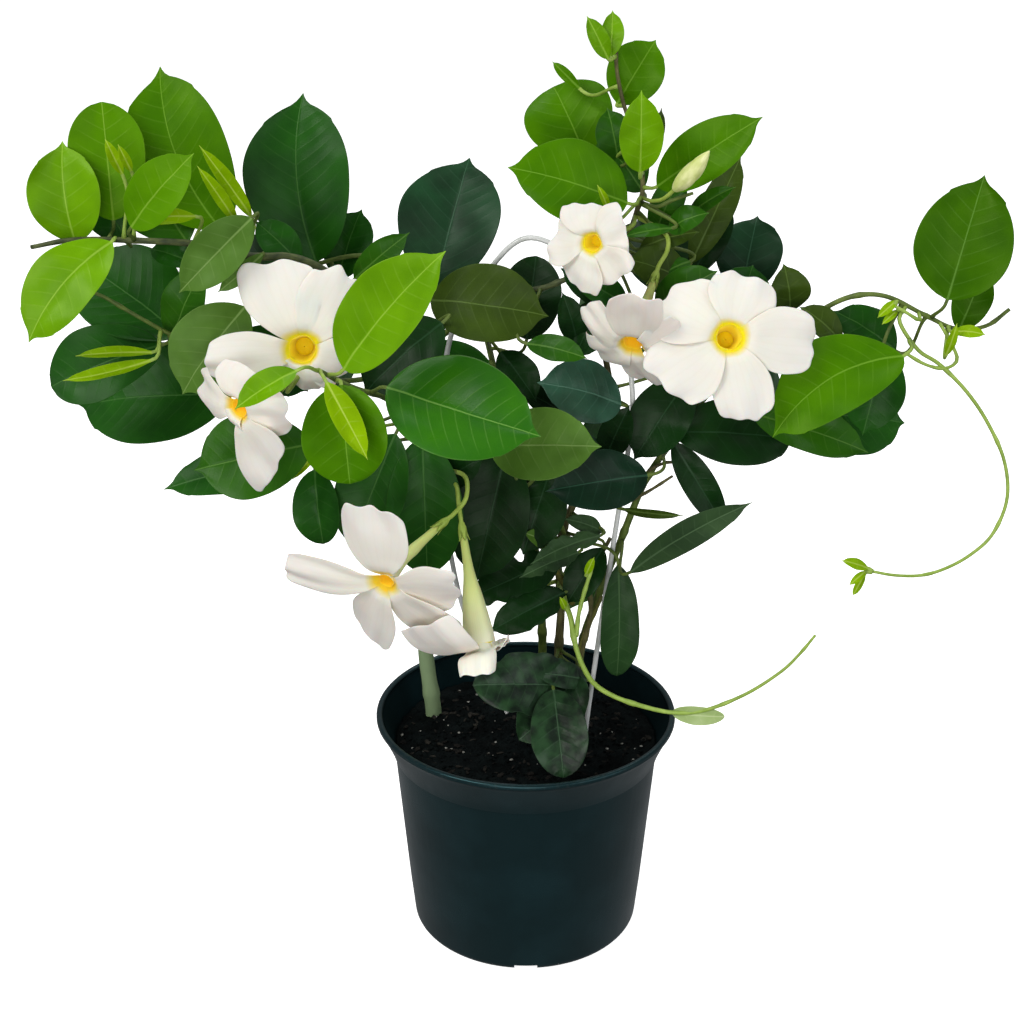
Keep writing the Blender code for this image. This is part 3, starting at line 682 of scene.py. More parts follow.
class Mesh:
    """A mesh under construction: points and UVs in lists, with a material for each face."""

    def __init__(self, name: str, maps: Sequence[str] = ()) -> None:
        """Start an empty mesh.

        Args:
            name: its name, which its object takes too.
            maps: the names of its UV maps.
        """
        self.name = name
        self.points: list[Vector] = []
        self.maps: dict[str, list[tuple[float, float]]] = {m: [] for m in maps}
        self.faces: list[tuple[int, ...]] = []
        self.finish: list[int] = []

    def add(self, point: Vector, **uvs: tuple[float, float]) -> int:
        """Add a point.

        Args:
            point: its place, in millimetres.
            uvs: its place in each UV map, by the map's name.

        Returns:
            Its number.
        """
        self.points.append(point)
        for name, values in self.maps.items():
            values.append(uvs.get(name, (0.0, 0.0)))
        return len(self.points) - 1

    def face(self, corners: Sequence[int], finish: int = 0) -> None:
        """Add a face with the number of its material."""
        self.faces.append(tuple(corners))
        self.finish.append(finish)

    def grid(self, rows: Sequence[Sequence[int]], *finishes: int, closed: bool = False) -> None:
        """Fill the faces between rows of points.

        Args:
            rows: the rows.
            finishes: the numbers of the materials, each of which takes an equal share of the columns.
            closed: whether the rows go round to their start.
        """
        count = len(rows[0]) if closed else len(rows[0]) - 1
        for low, high in zip(rows, rows[1:]):
            for k in range(count):
                n = (k + 1) % len(low)
                finish = finishes[k * len(finishes) // count] if finishes else 0
                self.face((low[k], low[n], high[n], high[k]), finish)

    def ends(self, rows: Sequence[Sequence[int]], first: int = 0, last: int = 0) -> None:
        """Close the first and the last row, each with one face."""
        self.face(rows[0][::-1], first)
        self.face(rows[-1], last)

    def cap(self, rows: Sequence[Sequence[int]], first: int, last: int) -> None:
        """Close a turned solid's first and last row with triangles to points on its axis.

        Args:
            rows: the solid's rows.
            first: the number of the point that closes the first row.
            last: the number of the point that closes the last row.
        """
        for k in range(len(rows[0])):
            n = (k + 1) % len(rows[0])
            self.face((first, rows[0][k], rows[0][n]))
            self.face((last, rows[-1][n], rows[-1][k]))

    def add_tube(self, route: Sequence[Vector], radii: Sequence[float], sides: int) -> None:
        """Add a round tube with closed ends, and its "bark" map in centimetres.

        Args:
            route: the tube's centre line, in millimetres.
            radii: the radius at each point.
            sides: how many sides it has.
        """
        rows, length = [], 0.0
        for k, ((right, up), centre) in enumerate(zip(turn_frames(route), route)):
            length += (centre - route[k - 1]).length if k else 0.0
            rows.append([self.add(
                centre + spoke(turn, right, up) * radii[k],
                bark=(there_and_back(n, sides) * math.pi * radii[k] / 10, length / 10),
            ) for n, turn in enumerate(around(sides))])
        self.grid(rows, closed=True)
        self.ends(rows)

    def build(self, materials: Sequence[bpy.types.Material], slot: str, node: str = "") -> bpy.types.Object:
        """Make the object, dress it and let it ride on the frame.

        Args:
            materials: the object's materials, in the order of the face numbers.
            slot: the record's material slot. It is not used.
            node: the CAD node that it stands for, where the frame has one of that name.

        Returns:
            The object.
        """
        mesh = bpy.data.meshes.new(self.name)
        mesh.from_pydata([p * MM for p in self.points], [], self.faces)
        mesh.validate()
        for name, values in self.maps.items():
            layer = mesh.uv_layers.new(name=name)
            for loop in mesh.loops:
                layer.data[loop.index].uv = values[loop.vertex_index]
        for polygon, finish in zip(mesh.polygons, self.finish):
            polygon.material_index = finish
            polygon.use_smooth = True
        for material in materials:
            mesh.materials.append(material)
        obj = place_object(self.name, mesh)
        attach(obj, BODY)
        if node in frame["nodes"]:
            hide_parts(node)
        return obj


# ----------------------------------------
# Stems

# The buried foot of a stem, and the spacing of a stem's rings
STEM_FOOT = 90.0
STEM_STEP = 2.5
# Where what grows on a stem starts, as a share of the stem's radius
SEAT_DEPTH = 0.7


@dataclass
class Stem:
    """A woody or green stem, with a swelling at each leaf node.

    Its route and its radii at the two ends are in millimetres. A stem with a parent starts on it.
    """

    name: str
    route: list[Point]
    radius: tuple[float, float]
    tissue: StemTissue
    parent: str = ""
    node_spacing: float = 38.0
    swelling: float = 0.28
    swelling_length: float = 2.4
    unevenness: float = 0.06
    sides: int = 14

    def radii(self, count: int) -> list[float]:
        """Work out the stem's radius, with its taper, its nodes and a little unevenness.

        Args:
            count: how many points its route has.

        Returns:
            The radius at each point.
        """
        start, end = self.radius
        found = []
        for k in range(count):
            plain = start + (end - start) * k / (count - 1)
            past = (k * STEM_STEP) % self.node_spacing
            off = min(past, self.node_spacing - past) / self.swelling_length
            swell = self.swelling * math.exp(-off * off) if 0 < k < count - 1 else 0.0
            uneven = noise.noise(Vector((k * STEM_STEP / 9.0, len(self.name), start)))
            found.append(plain * (1 + swell + self.unevenness * uneven))
        return found

    def build(self, garden: "Garden") -> None:
        """Build the stem's tube, and remember its centre line for what grows on it.

        Args:
            garden: the plant, which holds the stems built so far.
        """
        points = [Vector(p) for p in self.route]
        if self.parent:
            points.insert(0, garden.seat(self.parent, points[0]))
        route = smooth_route(points, STEM_STEP)
        radii = self.radii(len(route))
        garden.routes[self.name] = (route, radii)
        mesh = Mesh(self.name + "_bark", ["bark"])
        mesh.add_tube(route, radii, self.sides)
        mesh.build([self.tissue.material()], self.tissue.slot, self.name)


STEMS = [
    Stem("left_main_stem", [(-54, 27, STEM_FOOT), (-54, 27, 116), (-58, 27, 156), (-58, 22, 190),
         (-57, 12, 232), (-55, 2, 267), (-56, -6, 298), (-62, -2, 320), (-75, 8, 349), (-94, 10, 376),
         (-117, 4, 393), (-143, -4, 397), (-166, -8, 404), (-199, -12, 407), (-228, -15, 408),
         (-250, -14, 404)], (5.0, 1.1), WOOD, swelling=0.12),
    Stem("front_shoot", [(-59, -24, 314), (-64, -40, 327), (-72, -54, 338), (-81, -62, 344),
         (-91, -67, 350), (-101, -70, 357)], (1.7, 1.1), GREEN_WOOD, "left_main_stem", 22.0),
    Stem("left_shoot", [(-84, -6, 332), (-105, -12, 333), (-128, -12, 338), (-150, -11, 348),
         (-179, -12, 356), (-198, -16, 368), (-216, -18, 380), (-228, -19, 384)], (1.5, 0.9), GREEN_WOOD,
         "left_main_stem"),
    Stem("crown_stem", [(18, 20, STEM_FOOT), (18, 20, 116), (19, 18, 161), (20, 15, 194), (18, 9, 228),
         (27, 7, 259), (41, 9, 289), (45, 9, 318), (41, 16, 344), (41, 20, 369), (50, 14, 396),
         (56, 10, 416), (59, 10, 430), (56, 16, 450), (49, 18, 469), (45, 18, 486), (44, 18, 501)],
         (2.7, 0.9), BROWN_WOOD),
    Stem("right_vine", [(30, 27, STEM_FOOT), (30, 27, 116), (32, 25, 156), (38, 18, 186), (50, 12, 224),
         (64, 6, 268), (78, 2, 294), (94, 4, 317), (113, 8, 333), (133, 4, 350), (150, -4, 367),
         (166, -9, 377), (183, -12, 378), (204, -12, 368), (220, -12, 361), (236, -11, 362),
         (248, -8, 370)], (2.5, 1.0), GREEN_WOOD),
    Stem("top_stem", [(8, 33, STEM_FOOT), (8, 33, 116), (10, 32, 150), (8, 27, 198), (3, 22, 232),
         (-8, 22, 262), (-14, 32, 291), (-18, 42, 323), (-27, 52, 350), (-44, 60, 368), (-68, 64, 377),
         (-94, 64, 380), (-122, 62, 374)], (2.7, 1.2), GREEN_WOOD),
    Stem("trailing_vine", [(190, -17, 366), (200, -20, 352), (211, -22, 345), (225, -25, 332),
         (237, -28, 316), (247, -32, 296), (249.6, -36, 276), (243, -40, 258), (232, -42, 247),
         (219, -44, 240), (206, -46, 237), (192, -48, 238), (180, -50, 241)], (1.1, 0.8), PALE_STEM,
         "right_vine", 46.0),
    Stem("young_shoot", [(19, -2, 205), (20, -10, 209), (21, -20, 209), (24, -28, 203), (26, -34, 192),
         (30, -39, 181), (36, -45, 173), (46, -52, 169), (60, -59, 167), (77, -65, 166), (93, -70, 170),
         (114, -74, 182), (131, -76, 196), (140, -77, 207), (147, -78, 218)], (1.7, 0.7), PALE_STEM,
         "crown_stem", 52.0),
    # Thin shoots that are too small for a CAD part of their own
    Stem("crown_twig_left", [(14, 2, 236), (6, -8, 250), (0, -14, 266), (-6, -18, 282)], (1.5, 1.0),
         GREEN_WOOD, "crown_stem", 16.0),
    Stem("crown_twig_middle", [(22, -2, 232), (20, -10, 246), (16, -16, 262)], (1.3, 0.9), GREEN_WOOD,
         "crown_stem", 14.0),
    Stem("crown_twig_low", [(8, 8, 206), (2, -2, 214), (-2, -8, 222)], (1.2, 0.8), PALE_STEM, "crown_stem",
         15.0),
    Stem("crown_shoot_back", [(28, 12, 130), (31, 8, 160), (36, 3, 190), (36, 2, 214), (46, 1, 238)],
         (1.6, 1.1), BROWN_WOOD, "", 24.0),
    Stem("young_shoot_arm", [(27, -33, 195), (28, -30, 206), (31, -27, 218), (35, -25, 232)], (1.2, 0.9),
         PALE_STEM, "young_shoot", 9.0),
    Stem("upper_arm_left", [(48, 2, 410), (38, -6, 412), (30, -10, 414)], (1.0, 0.8), GREEN_WOOD,
         "crown_stem", 14.0),
    Stem("upper_arm_right", [(66, 6, 420), (74, 4, 424), (84, 2, 428)], (1.1, 0.8), GREEN_WOOD,
         "crown_stem", 14.0),
    Stem("far_loop", [(212, -18, 363), (217, -20, 355), (220, -22, 347), (214, -23, 343), (204, -23, 345),
         (193, -22, 351)], (0.9, 0.8), PALE_STEM, "right_vine", 12.0),
    Stem("far_twig", [(200, -18, 367), (193, -18, 371), (187, -16, 374)], (0.9, 0.7), PALE_STEM,
         "right_vine", 8.0),
    Stem("right_twig_upper", [(66, -2, 279), (74, -4, 284), (82, -6, 285)], (0.9, 0.7), BROWN_WOOD,
         "right_vine", 9.0),
    Stem("right_twig_lower", [(58, -2, 262), (68, -6, 270), (78, -8, 278)], (0.9, 0.7), BROWN_WOOD,
         "right_vine", 9.0),
    Stem("crown_twig_right", [(26, 4, 198), (14, -2, 226), (7, -8, 250)], (1.6, 1.2), YOUNG_WOOD,
         "crown_stem", 14.0),
    Stem("crown_twig_outer", [(10, -6, 236), (3, -10, 252), (-2, -14, 267)], (1.4, 1.1), YOUNG_WOOD,
         "crown_stem", 12.0),
    Stem("crown_twig_fork", [(30, 8, 164), (35, 5, 182), (42, 2, 202)], (1.5, 1.1), YOUNG_WOOD, "", 14.0),
    Stem("middle_branch", [(-2, 14, 372), (10, 6, 378), (22, 2, 384)], (1.8, 1.4), WOOD, "top_stem", 18.0),
    Stem("back_branch_left", [(-70, 40, 330), (-84, 52, 340), (-98, 58, 352)], (1.6, 1.0), GREEN_WOOD,
         "top_stem", 20.0),
    Stem("back_branch_right", [(60, 24, 330), (74, 34, 346), (88, 40, 366)], (1.6, 1.0), GREEN_WOOD,
         "right_vine", 20.0),
]


# ----------------------------------------
# Leaves

LEAF_FACING = Vector((0.0, -0.80, 0.60))
VEIN_SPACING = 7.5
# How far a side vein slants back from the midrib, and how much it curves on
VEIN_SLANT = 0.5
VEIN_CURVE = 0.010
# Where a section's points lie, as shares of the half-width: the last step is short, so the margin is crisp.
BLADE_STEPS = (0.0, 0.09, 0.21, 0.36, 0.53, 0.71, 0.88, 0.975, 1.0)


@dataclass
class Leaf:
    """A leaf on its petiole: a quilted blade from base to tip, as one closed mesh.

    Lengths are in millimetres. Roll turns the blade about its midrib from facing the front, bow lifts its
    middle, fold is the slope of its halves, sweep bends it sideways, wave ruffles its margin, widest is
    the share of its length where it is widest, blunt rounds its tip, and ragged notches its margin.
    """

    name: str
    stem: str
    base: Point
    tip: Point
    width: float
    tone: Tone
    roll: float = 0.0
    bow: float = 4.0
    fold: float = 12.0
    sweep: float = 0.0
    wave: float = 1.4
    widest: float = 0.50
    blunt: bool = False
    ragged: float = 0.0
    petiole: float = 0.9
    thickness: float = 0.5
    midrib: float = 0.75
    quilting: float = 0.22
    swelling: float = 1.2
    stations: int = 42
    across: int = 16

    def __post_init__(self) -> None:
        """Complete the name."""
        self.name = "leaf_" + self.name

    def directions(self) -> tuple[Vector, Vector, Vector]:
        """Work out the leaf's own directions.

        Returns:
            The directions along the midrib, across the blade and out of its face.
        """
        along = (Vector(self.tip) - Vector(self.base)).normalized()
        out = (LEAF_FACING - along * LEAF_FACING.dot(along)).normalized()
        turned = out.cross(along).normalized()
        roll = math.radians(self.roll)
        out = out * math.cos(roll) - turned * math.sin(roll)
        return along, out.cross(along).normalized(), out

    def half_width(self, share: float) -> float:
        """Work out the blade's half-width, with a short drawn-out tip.

        Args:
            share: how far along the blade, from 0 to 1.

        Returns:
            The half-width there.
        """
        # The body is a blunted oval that ends just short of the tip, and the tip tapers on from it.
        end, drawn_out = (1.0, 0.0) if self.blunt else (0.94, 0.17)
        off = (share - self.widest) / (self.widest if share < self.widest else end - self.widest)
        body = (1 - abs(off) ** 2.05) ** (0.56 if self.blunt else 0.64) if abs(off) < 1 else 0.0
        drawn = 0.42 * ((1.0 - share) / drawn_out) ** 1.15 if share > 1 - drawn_out else 0.0
        outline = (body ** 4 + drawn ** 4) ** 0.25
        return max(self.width / 2 * outline, self.petiole * (1.0 - 0.8 * share))

    def section(self, mesh: Mesh, share: float, drawn_in: float = 0.0) -> list[int]:
        """Add one closed section of the blade: the upper points from the left, then the lower ones back.

        Args:
            mesh: the leaf's mesh.
            share: how far along the blade.
            drawn_in: how far the section is drawn in to the tip, from 0 to 1.

        Returns:
            The points' numbers.
        """
        _, across, out = self.directions()
        base, tip = Vector(self.base), Vector(self.tip)
        length = (tip - base).length
        middle = base.lerp(tip, share) + (out * self.bow + across * self.sweep) * (4 * share * (1 - share))
        half = self.half_width(share)
        # A narrow part of the blade is flatter than a wide one.
        ruffled, quilted = min(1.0, half / 12), min(1.0, half / 14)
        rise = math.tan(math.radians(self.fold))
        seed = len(self.name) * 3.7 + self.base[0] * 0.13
        row: list[int] = []
        order = [*range(-self.across // 2, self.across // 2 + 1)]
        for side, steps in ((1, order), (-1, order[-2:0:-1])):
            for step in steps:
                s = math.copysign(BLADE_STEPS[abs(step)], step)
                notch = noise.noise(Vector((share * 7.0, math.copysign(4.0, s), seed)))
                x = s * half * (1 - self.ragged * min(1.0, max(0.0, 1.6 * notch + 0.1)))
                lift = abs(x) * rise * (0.85 + 0.15 * abs(s))
                ruffle = noise.noise(Vector((share * 3.2, s * 0.8 + seed, seed)))
                lift += self.wave * 2.6 * ruffle * abs(s) ** 1.6 * ruffled
                swell = noise.noise(Vector((share * 4.5 + seed, s * 1.9, seed * 0.7)))
                lift += self.swelling * swell * ruffled * (1 - s * s)
                # The blade is plump between its side veins, which leave the midrib at a slant and curve on.
                vein = (share * length - VEIN_SLANT * abs(x) - VEIN_CURVE * x * x) / VEIN_SPACING
                between = 0.5 - abs(vein % 1.0 - 0.5)
                lift += self.quilting * (min(between / 0.3, 1.0) ** 0.6 - 0.6) * (1 - abs(s) ** 3) * quilted
                skin = self.thickness / 2 * (1 - 0.7 * abs(s) ** 4)
                if side < 0:
                    skin += self.midrib * math.exp(-(x / 1.1) ** 2) * (1 - share) ** 0.5
                point = (middle + across * x + out * (lift + side * skin)).lerp(tip, drawn_in)
                row.append(mesh.add(point, blade=(share, abs(s)), veins=(vein, abs(x) / 10),
                                    bark=(0.5 + s / 4, share * length / 10)))
        return row

    def petiole_rows(self, mesh: Mesh, start: Vector) -> list[list[int]]:
        """Add the petiole's rings. It leaves the stem squarely and bends over into the blade's line.

        Args:
            mesh: the leaf's mesh.
            start: where the petiole leaves the stem.

        Returns:
            The numbers of each ring's points, from the stem to the blade.
        """
        along, across, out = self.directions()
        base = Vector(self.base)
        gap = base - start
        handles = (start, start + gap * 0.35, base - along * 0.40 * gap.length, base)
        count = 2 * self.across
        heading, rows = along, []
        stations = max(5, round(gap.length / 3))
        for n in range(1, stations + 1):
            t = 1 - n / stations
            a, b, c = (handles[k].lerp(handles[k + 1], t) for k in range(3))
            low, high = a.lerp(b, t), b.lerp(c, t)
            bend = heading.rotation_difference(high - low)
            across, out, heading = bend @ across, bend @ out, high - low
            radius = self.petiole * (1.0 + 0.45 * max(0.0, 1 - t * gap.length / 4.0))
            rows.append([mesh.add(
                low.lerp(high, t) + spoke(math.pi - turn, across, out) * radius,
                bark=(there_and_back(k, count) * 0.25, n * 0.3),
            ) for k, turn in enumerate(around(count))])
        return rows[::-1]

    def build(self, garden: "Garden") -> None:
        """Build the leaf and dress its upper face, its underside and its petiole.

        Args:
            garden: the plant, which holds the stems.
        """
        mesh = Mesh(self.name + "_blade", ["blade", "veins", "bark"])
        stalk = self.petiole_rows(mesh, garden.seat(self.stem, Vector(self.base)))
        rows = [self.section(mesh, k / self.stations) for k in range(self.stations)]
        rows.append(self.section(mesh, 0.999, 0.5))
        upper, under, petiole = range(3)
        mesh.grid([*stalk, rows[0]], petiole, closed=True)
        mesh.grid(rows, upper, under, closed=True)
        mesh.ends([stalk[0], rows[-1]], petiole, upper)
        tissue = self.tone.value
        stalk_tissue = PALE_STEM if self.tone in (Tone.SPRING, Tone.LIME, Tone.BRIGHT) else GREEN_WOOD
        mesh.build([tissue.material(), tissue.material("_under"), stalk_tissue.material()], tissue.slot,
                   self.name)


# Short names for the table: the greens, and the stems that carry the leaves
T = Tone
LEFT, CROWN, VINE = "left_main_stem", "crown_stem", "right_vine"
SHOOT, FRONT, TOP = "left_shoot", "front_shoot", "top_stem"
LEAVES = [
    # Left cluster
    Leaf("left_upper", LEFT, (-158, 14, 406), (-188, 36, 486), 55, T.BRIGHT, -6, 4, 12, 8),
    Leaf("left_small", LEFT, (-196, -26, 417), (-161, -34, 455), 27, T.FRESH, 10),
    Leaf("left_edge", LEFT, (-229, -8, 405), (-232, -2, 455), 36, T.LIME, 8, 4, 20, 2),
    Leaf("left_low_edge", LEFT, (-206, -28, 410), (-247, -47, 364), 33, T.LIME, -10, 5, 10, -4),
    Leaf("left_backing", LEFT, (-206, 8, 402), (-224, 16, 428), 25, T.DARK),
    Leaf("left_curled", LEFT, (-136, -28, 422), (-171, -46, 389), 25, T.GREY, -20, 7, 20),
    Leaf("left_dark", SHOOT, (-183, 12, 350), (-241, 42, 382), 56, T.DARK, 10),
    Leaf("left_round", SHOOT, (-192, 4, 347), (-249, -8, 328), 40, T.DARK, 0, 5, widest=0.6, blunt=True),
    Leaf("left_broad", SHOOT, (-160, 24, 313), (-249, 42, 301), 60, T.DARK, 4, 5, widest=0.46),
    Leaf("left_folded", LEFT, (-111, -34, 306), (-170, -46, 296), 43, T.MID, -14, 5, 22, widest=0.58),
    Leaf("left_long", LEFT, (-113, -14, 291), (-192, -20, 275), 28, T.DARK, 8, 5),
    Leaf("left_pale", LEFT, (-211, 2, 414), (-214, 12, 472), 38, T.FRESH, 12, widest=0.6, blunt=True),
    Leaf("left_sprout_low", LEFT, (-201, -14, 441), (-207, -18, 459), 6, T.SPRING, 0, 1, 30),
    Leaf("left_sprout_high", LEFT, (-196, -16, 443), (-200, -22, 457), 5, T.SPRING, 0, 1, 30),
    Leaf("left_bud_long", LEFT, (-138, -16, 420), (-159, -30, 458), 8, T.SPRING, 0, 2, 38),
    Leaf("left_bud_short", LEFT, (-145, -20, 418), (-160, -34, 449), 7, T.SPRING, 0, 2, 38),
    Leaf("left_olive", SHOOT, (-184, -4, 352), (-164, -8, 394), 24, T.MID),
    Leaf("left_grey", LEFT, (-144, -14, 373), (-177, -26, 330), 41, T.GREY, -6, 6, 16),
    Leaf("left_hidden", SHOOT, (-150, 14, 352), (-118, 20, 316), 34, T.DARK),
    Leaf("left_sliver", LEFT, (-135, -4, 398), (-158, -12, 380), 9, T.GREY, -30, 2),
    Leaf("gap_left", LEFT, (-174, 20, 386), (-199, 26, 393), 15, T.DARK),
    Leaf("left_strip", LEFT, (-165, -20, 421), (-197, -26, 420), 9, T.SPRING, 0, 2),
    Leaf("left_pair_upper", SHOOT, (-192, -22, 351), (-228, -34, 353), 6, T.SPRING, 0, 2, 34),
    Leaf("left_pair_lower", SHOOT, (-192, -26, 348), (-234, -40, 342), 7, T.SPRING, 0, -3, 34),
    # Top of the left side
    Leaf("top_left", TOP, (-115, 58, 378), (-121, 84, 465), 57, T.DARK, 4, 4, 16, 7, 1.6, widest=0.52),
    Leaf("top_middle", TOP, (-50, 54, 364), (-31, 84, 430), 57, T.BLUE, -8, 6, 14, -1, widest=0.52),
    Leaf("top_olive", LEFT, (-50, 2, 372), (11, -14, 368), 42, T.OLIVE, 6, 5),
    Leaf("behind_tall", TOP, (-104, 68, 366), (-91, 81, 402), 28, T.DARK, -4),
    Leaf("gap_dark", LEFT, (-120, 26, 385), (-143, 30, 407), 20, T.DARK),
    Leaf("top_small_curl", LEFT, (-88, -8, 386), (-59, -16, 412), 15, T.MID, 16),
    Leaf("top_dark_right", TOP, (0, 18, 346), (5, 28, 389), 32, T.DEEP, widest=0.55, blunt=True),
    # Front
    Leaf("front_lime", FRONT, (-88, -80, 361), (-38, -94, 422), 37, T.LIME, 6, 3, 24, 2),
    Leaf("front_narrow", FRONT, (-110, -90, 363), (-137, -107, 350), 14, T.LIME, 0, 3, 30),
    Leaf("front_cupped", FRONT, (-90, -77, 352), (-86, -93, 307), 41, T.BRIGHT, 0, 5, 18, widest=0.55,
         blunt=True),
    Leaf("front_glossy", FRONT, (-69, -66, 347), (6, -92, 331), 53, T.GLOSSY, -4, 5, 10, -2),
    Leaf("front_hanging", LEFT, (-54, -30, 308), (-52, -44, 232), 40, T.DARK),
    Leaf("front_hanging_left", LEFT, (-68, -28, 309), (-92, -42, 249), 37, T.DARK),
    Leaf("front_grey", LEFT, (-19, -40, 306), (37, -60, 314), 38, T.GREY, 6, 5),
    Leaf("front_yellow", FRONT, (-96, -86, 356), (-76, -105, 324), 13, T.SPRING, 0, 4, 26),
    Leaf("centre_dark_left", LEFT, (-43, -26, 368), (-83, -36, 333), 38, T.DEEP, 0, 5),
    Leaf("left_hanging", LEFT, (-110, -32, 291), (-106, -44, 254), 25, T.DARK, 10, 3, 20, widest=0.55,
         blunt=True),
    Leaf("left_nub", LEFT, (-108, -38, 302), (-120, -46, 291), 5, T.SPRING, 0, 1, 30),
    # Top of the right side
    Leaf("tip_young", CROWN, (41, 14, 494), (42, 16, 516), 12, T.LIME, 10, 1, 24),
    Leaf("tip_young_left", CROWN, (40, 13, 493), (29, 10, 514), 10, T.LIME, -12, 1, 24),
    Leaf("tip_right", CROWN, (46, 26, 469), (65, 30, 500), 29, T.BRIGHT, 10, 4, 16),
    Leaf("tip_lime", CROWN, (56, -8, 441), (55, -16, 482), 22, T.LIME, 0, 3, 16),
    Leaf("tip_round", CROWN, (31, 40, 438), (14, 60, 472), 47, T.BRIGHT, -6, 6, widest=0.54, blunt=True),
    Leaf("tip_curled", CROWN, (27, 42, 474), (13, 46, 487), 6, T.BRIGHT, -20, 1, 20, 0, 2.0),
    Leaf("right_gap", CROWN, (66, 18, 402), (81, 20, 437), 17, T.MID),
    Leaf("tip_sliver", CROWN, (62, 24, 437), (69, 30, 466), 8, T.OLIVE, 30, 2),
    Leaf("tip_dark", CROWN, (60, 26, 424), (36, 32, 451), 26, T.MID),
    Leaf("tip_gap", CROWN, (47, 26, 439), (41, 30, 466), 20, T.MID),
    Leaf("right_inner", CROWN, (86, 6, 328), (57, -8, 287), 32, T.DEEP, 0, 5),
    Leaf("curl_upper", CROWN, (44, 2, 371), (17, -2, 390), 22, T.DEEP),
    Leaf("curl_lower", CROWN, (40, 4, 372), (25, -2, 342), 22, T.DEEP),
    Leaf("middle_right_dark", CROWN, (42, -2, 233), (22, -14, 205), 20, T.DEEP),
    Leaf("right_left_arm", CROWN, (50, -8, 425), (-10, -18, 445), 42, T.BRIGHT, -6, 5),
    Leaf("right_arm", CROWN, (66, 4, 431), (115, -14, 469), 28, T.BRIGHT, 14, 5),
    Leaf("right_back", VINE, (116, 36, 366), (125, 56, 404), 36, T.BLUE, -8, 5),
    Leaf("right_back_low", VINE, (112, 22, 360), (120, 28, 384), 28, T.DARK),
    Leaf("right_tall_grey", CROWN, (87, 26, 386), (113, 44, 439), 19, T.OLIVE, 6),
    Leaf("right_tall_dark", CROWN, (88, 34, 376), (110, 46, 411), 17, T.DEEP),
    Leaf("right_small_green", CROWN, (83, 10, 414), (105, -2, 432), 10, T.MID),
    Leaf("right_slender", CROWN, (72, -16, 414), (47, -30, 413), 7, T.MID, 0, 2),
    Leaf("right_sprout", CROWN, (40, -22, 424), (34, -26, 438), 4, T.SPRING, 0, 1, 30),
    # Right side
    Leaf("right_broad", "trailing_vine", (187, -44, 356), (121, -66, 321), 41, T.BRIGHT, 2, 4, 14, -9),
    Leaf("right_under", VINE, (138, -3, 311), (203, 6, 303), 46, T.DARK, 0, 5),
    Leaf("right_low", VINE, (77, -8, 303), (145, 4, 294), 38, T.DEEP, 0, 5),
    Leaf("right_slant", VINE, (56, -24, 229), (117, -40, 276), 16, T.DUSKY, 20, 3, 14, 3),
    Leaf("right_drooping", CROWN, (50, -11, 227), (50, -22, 165), 22, T.SHADED, -10, widest=0.58,
         blunt=True),
    Leaf("crown_glossy", VINE, (62, -38, 290), (9, -60, 290), 31, T.TEAL, -8, 5),
    Leaf("far_right", VINE, (212, -22, 379), (227, -12, 440), 48, T.FULL, -8, 4, 14, widest=0.42),
    Leaf("right_ribbed", VINE, (136, -2, 367), (131, -4, 393), 21, T.OLIVE),
    Leaf("right_green_lobe", VINE, (160, -20, 356), (139, -14, 373), 16, T.OLIVE),
    Leaf("right_dark_lobe", VINE, (194, 4, 344), (161, 10, 364), 24, T.DARK),
    Leaf("right_dark_tip", VINE, (182, -20, 354), (173, -30, 309), 31, T.DARK),
    Leaf("right_below_broad", VINE, (117, -22, 318), (176, -34, 301), 26, T.MID),
    Leaf("right_folded", VINE, (78, -6, 296), (105, -14, 253), 18, T.DEEP, 10, 2, 18, blunt=True),
    Leaf("right_thin_brown", VINE, (51, -20, 264), (82, -34, 266), 5, T.OLIVE, 30, 3, 30),
    Leaf("right_grey_mid", CROWN, (84, 4, 380), (50, -6, 396), 24, T.OLIVE),
    Leaf("right_mid_green", CROWN, (66, -14, 371), (95, -26, 395), 22, T.MID),
    Leaf("right_mid_small", CROWN, (72, -4, 410), (91, -12, 421), 14, T.MID),
    Leaf("right_upper_fill", CROWN, (58, 6, 398), (88, 2, 408), 12, T.OLIVE),
    Leaf("right_lower_fill", CROWN, (84, 4, 392), (63, -2, 382), 11, T.MID),
    # Crown
    Leaf("centre_blue", CROWN, (49, -16, 321), (5, -28, 337), 34, T.POLISHED, 0, 5),
    Leaf("centre_small", "middle_branch", (0, -26, 357), (30, -38, 353), 14, T.MID, 0, 3),
    Leaf("centre_dark_low", TOP, (-14, -8, 347), (5, -20, 324), 20, T.DEEP),
    Leaf("centre_curl", CROWN, (51, -4, 371), (21, -10, 389), 16, T.DARK, -10, 4, 22),
    Leaf("right_crown_dark", CROWN, (40, -2, 276), (12, -10, 300), 26, T.BLUE),
    Leaf("middle_hanging", "crown_twig_left", (-11, -10, 293), (-27, -26, 224), 42, T.DEEP),
    Leaf("middle_gap", "crown_twig_left", (13, -6, 281), (-2, -22, 238), 32, T.DEEP),
    Leaf("gap_right", CROWN, (43, 0, 286), (54, -10, 319), 18, T.DEEP),
    Leaf("gap_middle", CROWN, (26, 0, 350), (18, -4, 378), 15, T.DEEP),
    Leaf("gap_front", LEFT, (-46, -20, 277), (-22, -30, 297), 18, T.DEEP),
    Leaf("gap_centre", CROWN, (18, 0, 310), (-4, -8, 327), 16, T.DEEP),
    Leaf("gap_low", CROWN, (41, -4, 244), (20, -10, 254), 10, T.DUSKY),
    Leaf("crown_left", CROWN, (18, -4, 227), (-33, -22, 211), 27, T.DEEP, 0, 4, 14, 0, 3.0, ragged=0.5),
    Leaf("crown_low", CROWN, (21, -14, 212), (-20, -34, 198), 23, T.DEEP, 0, 4, 14, 0, 3.0, ragged=0.16),
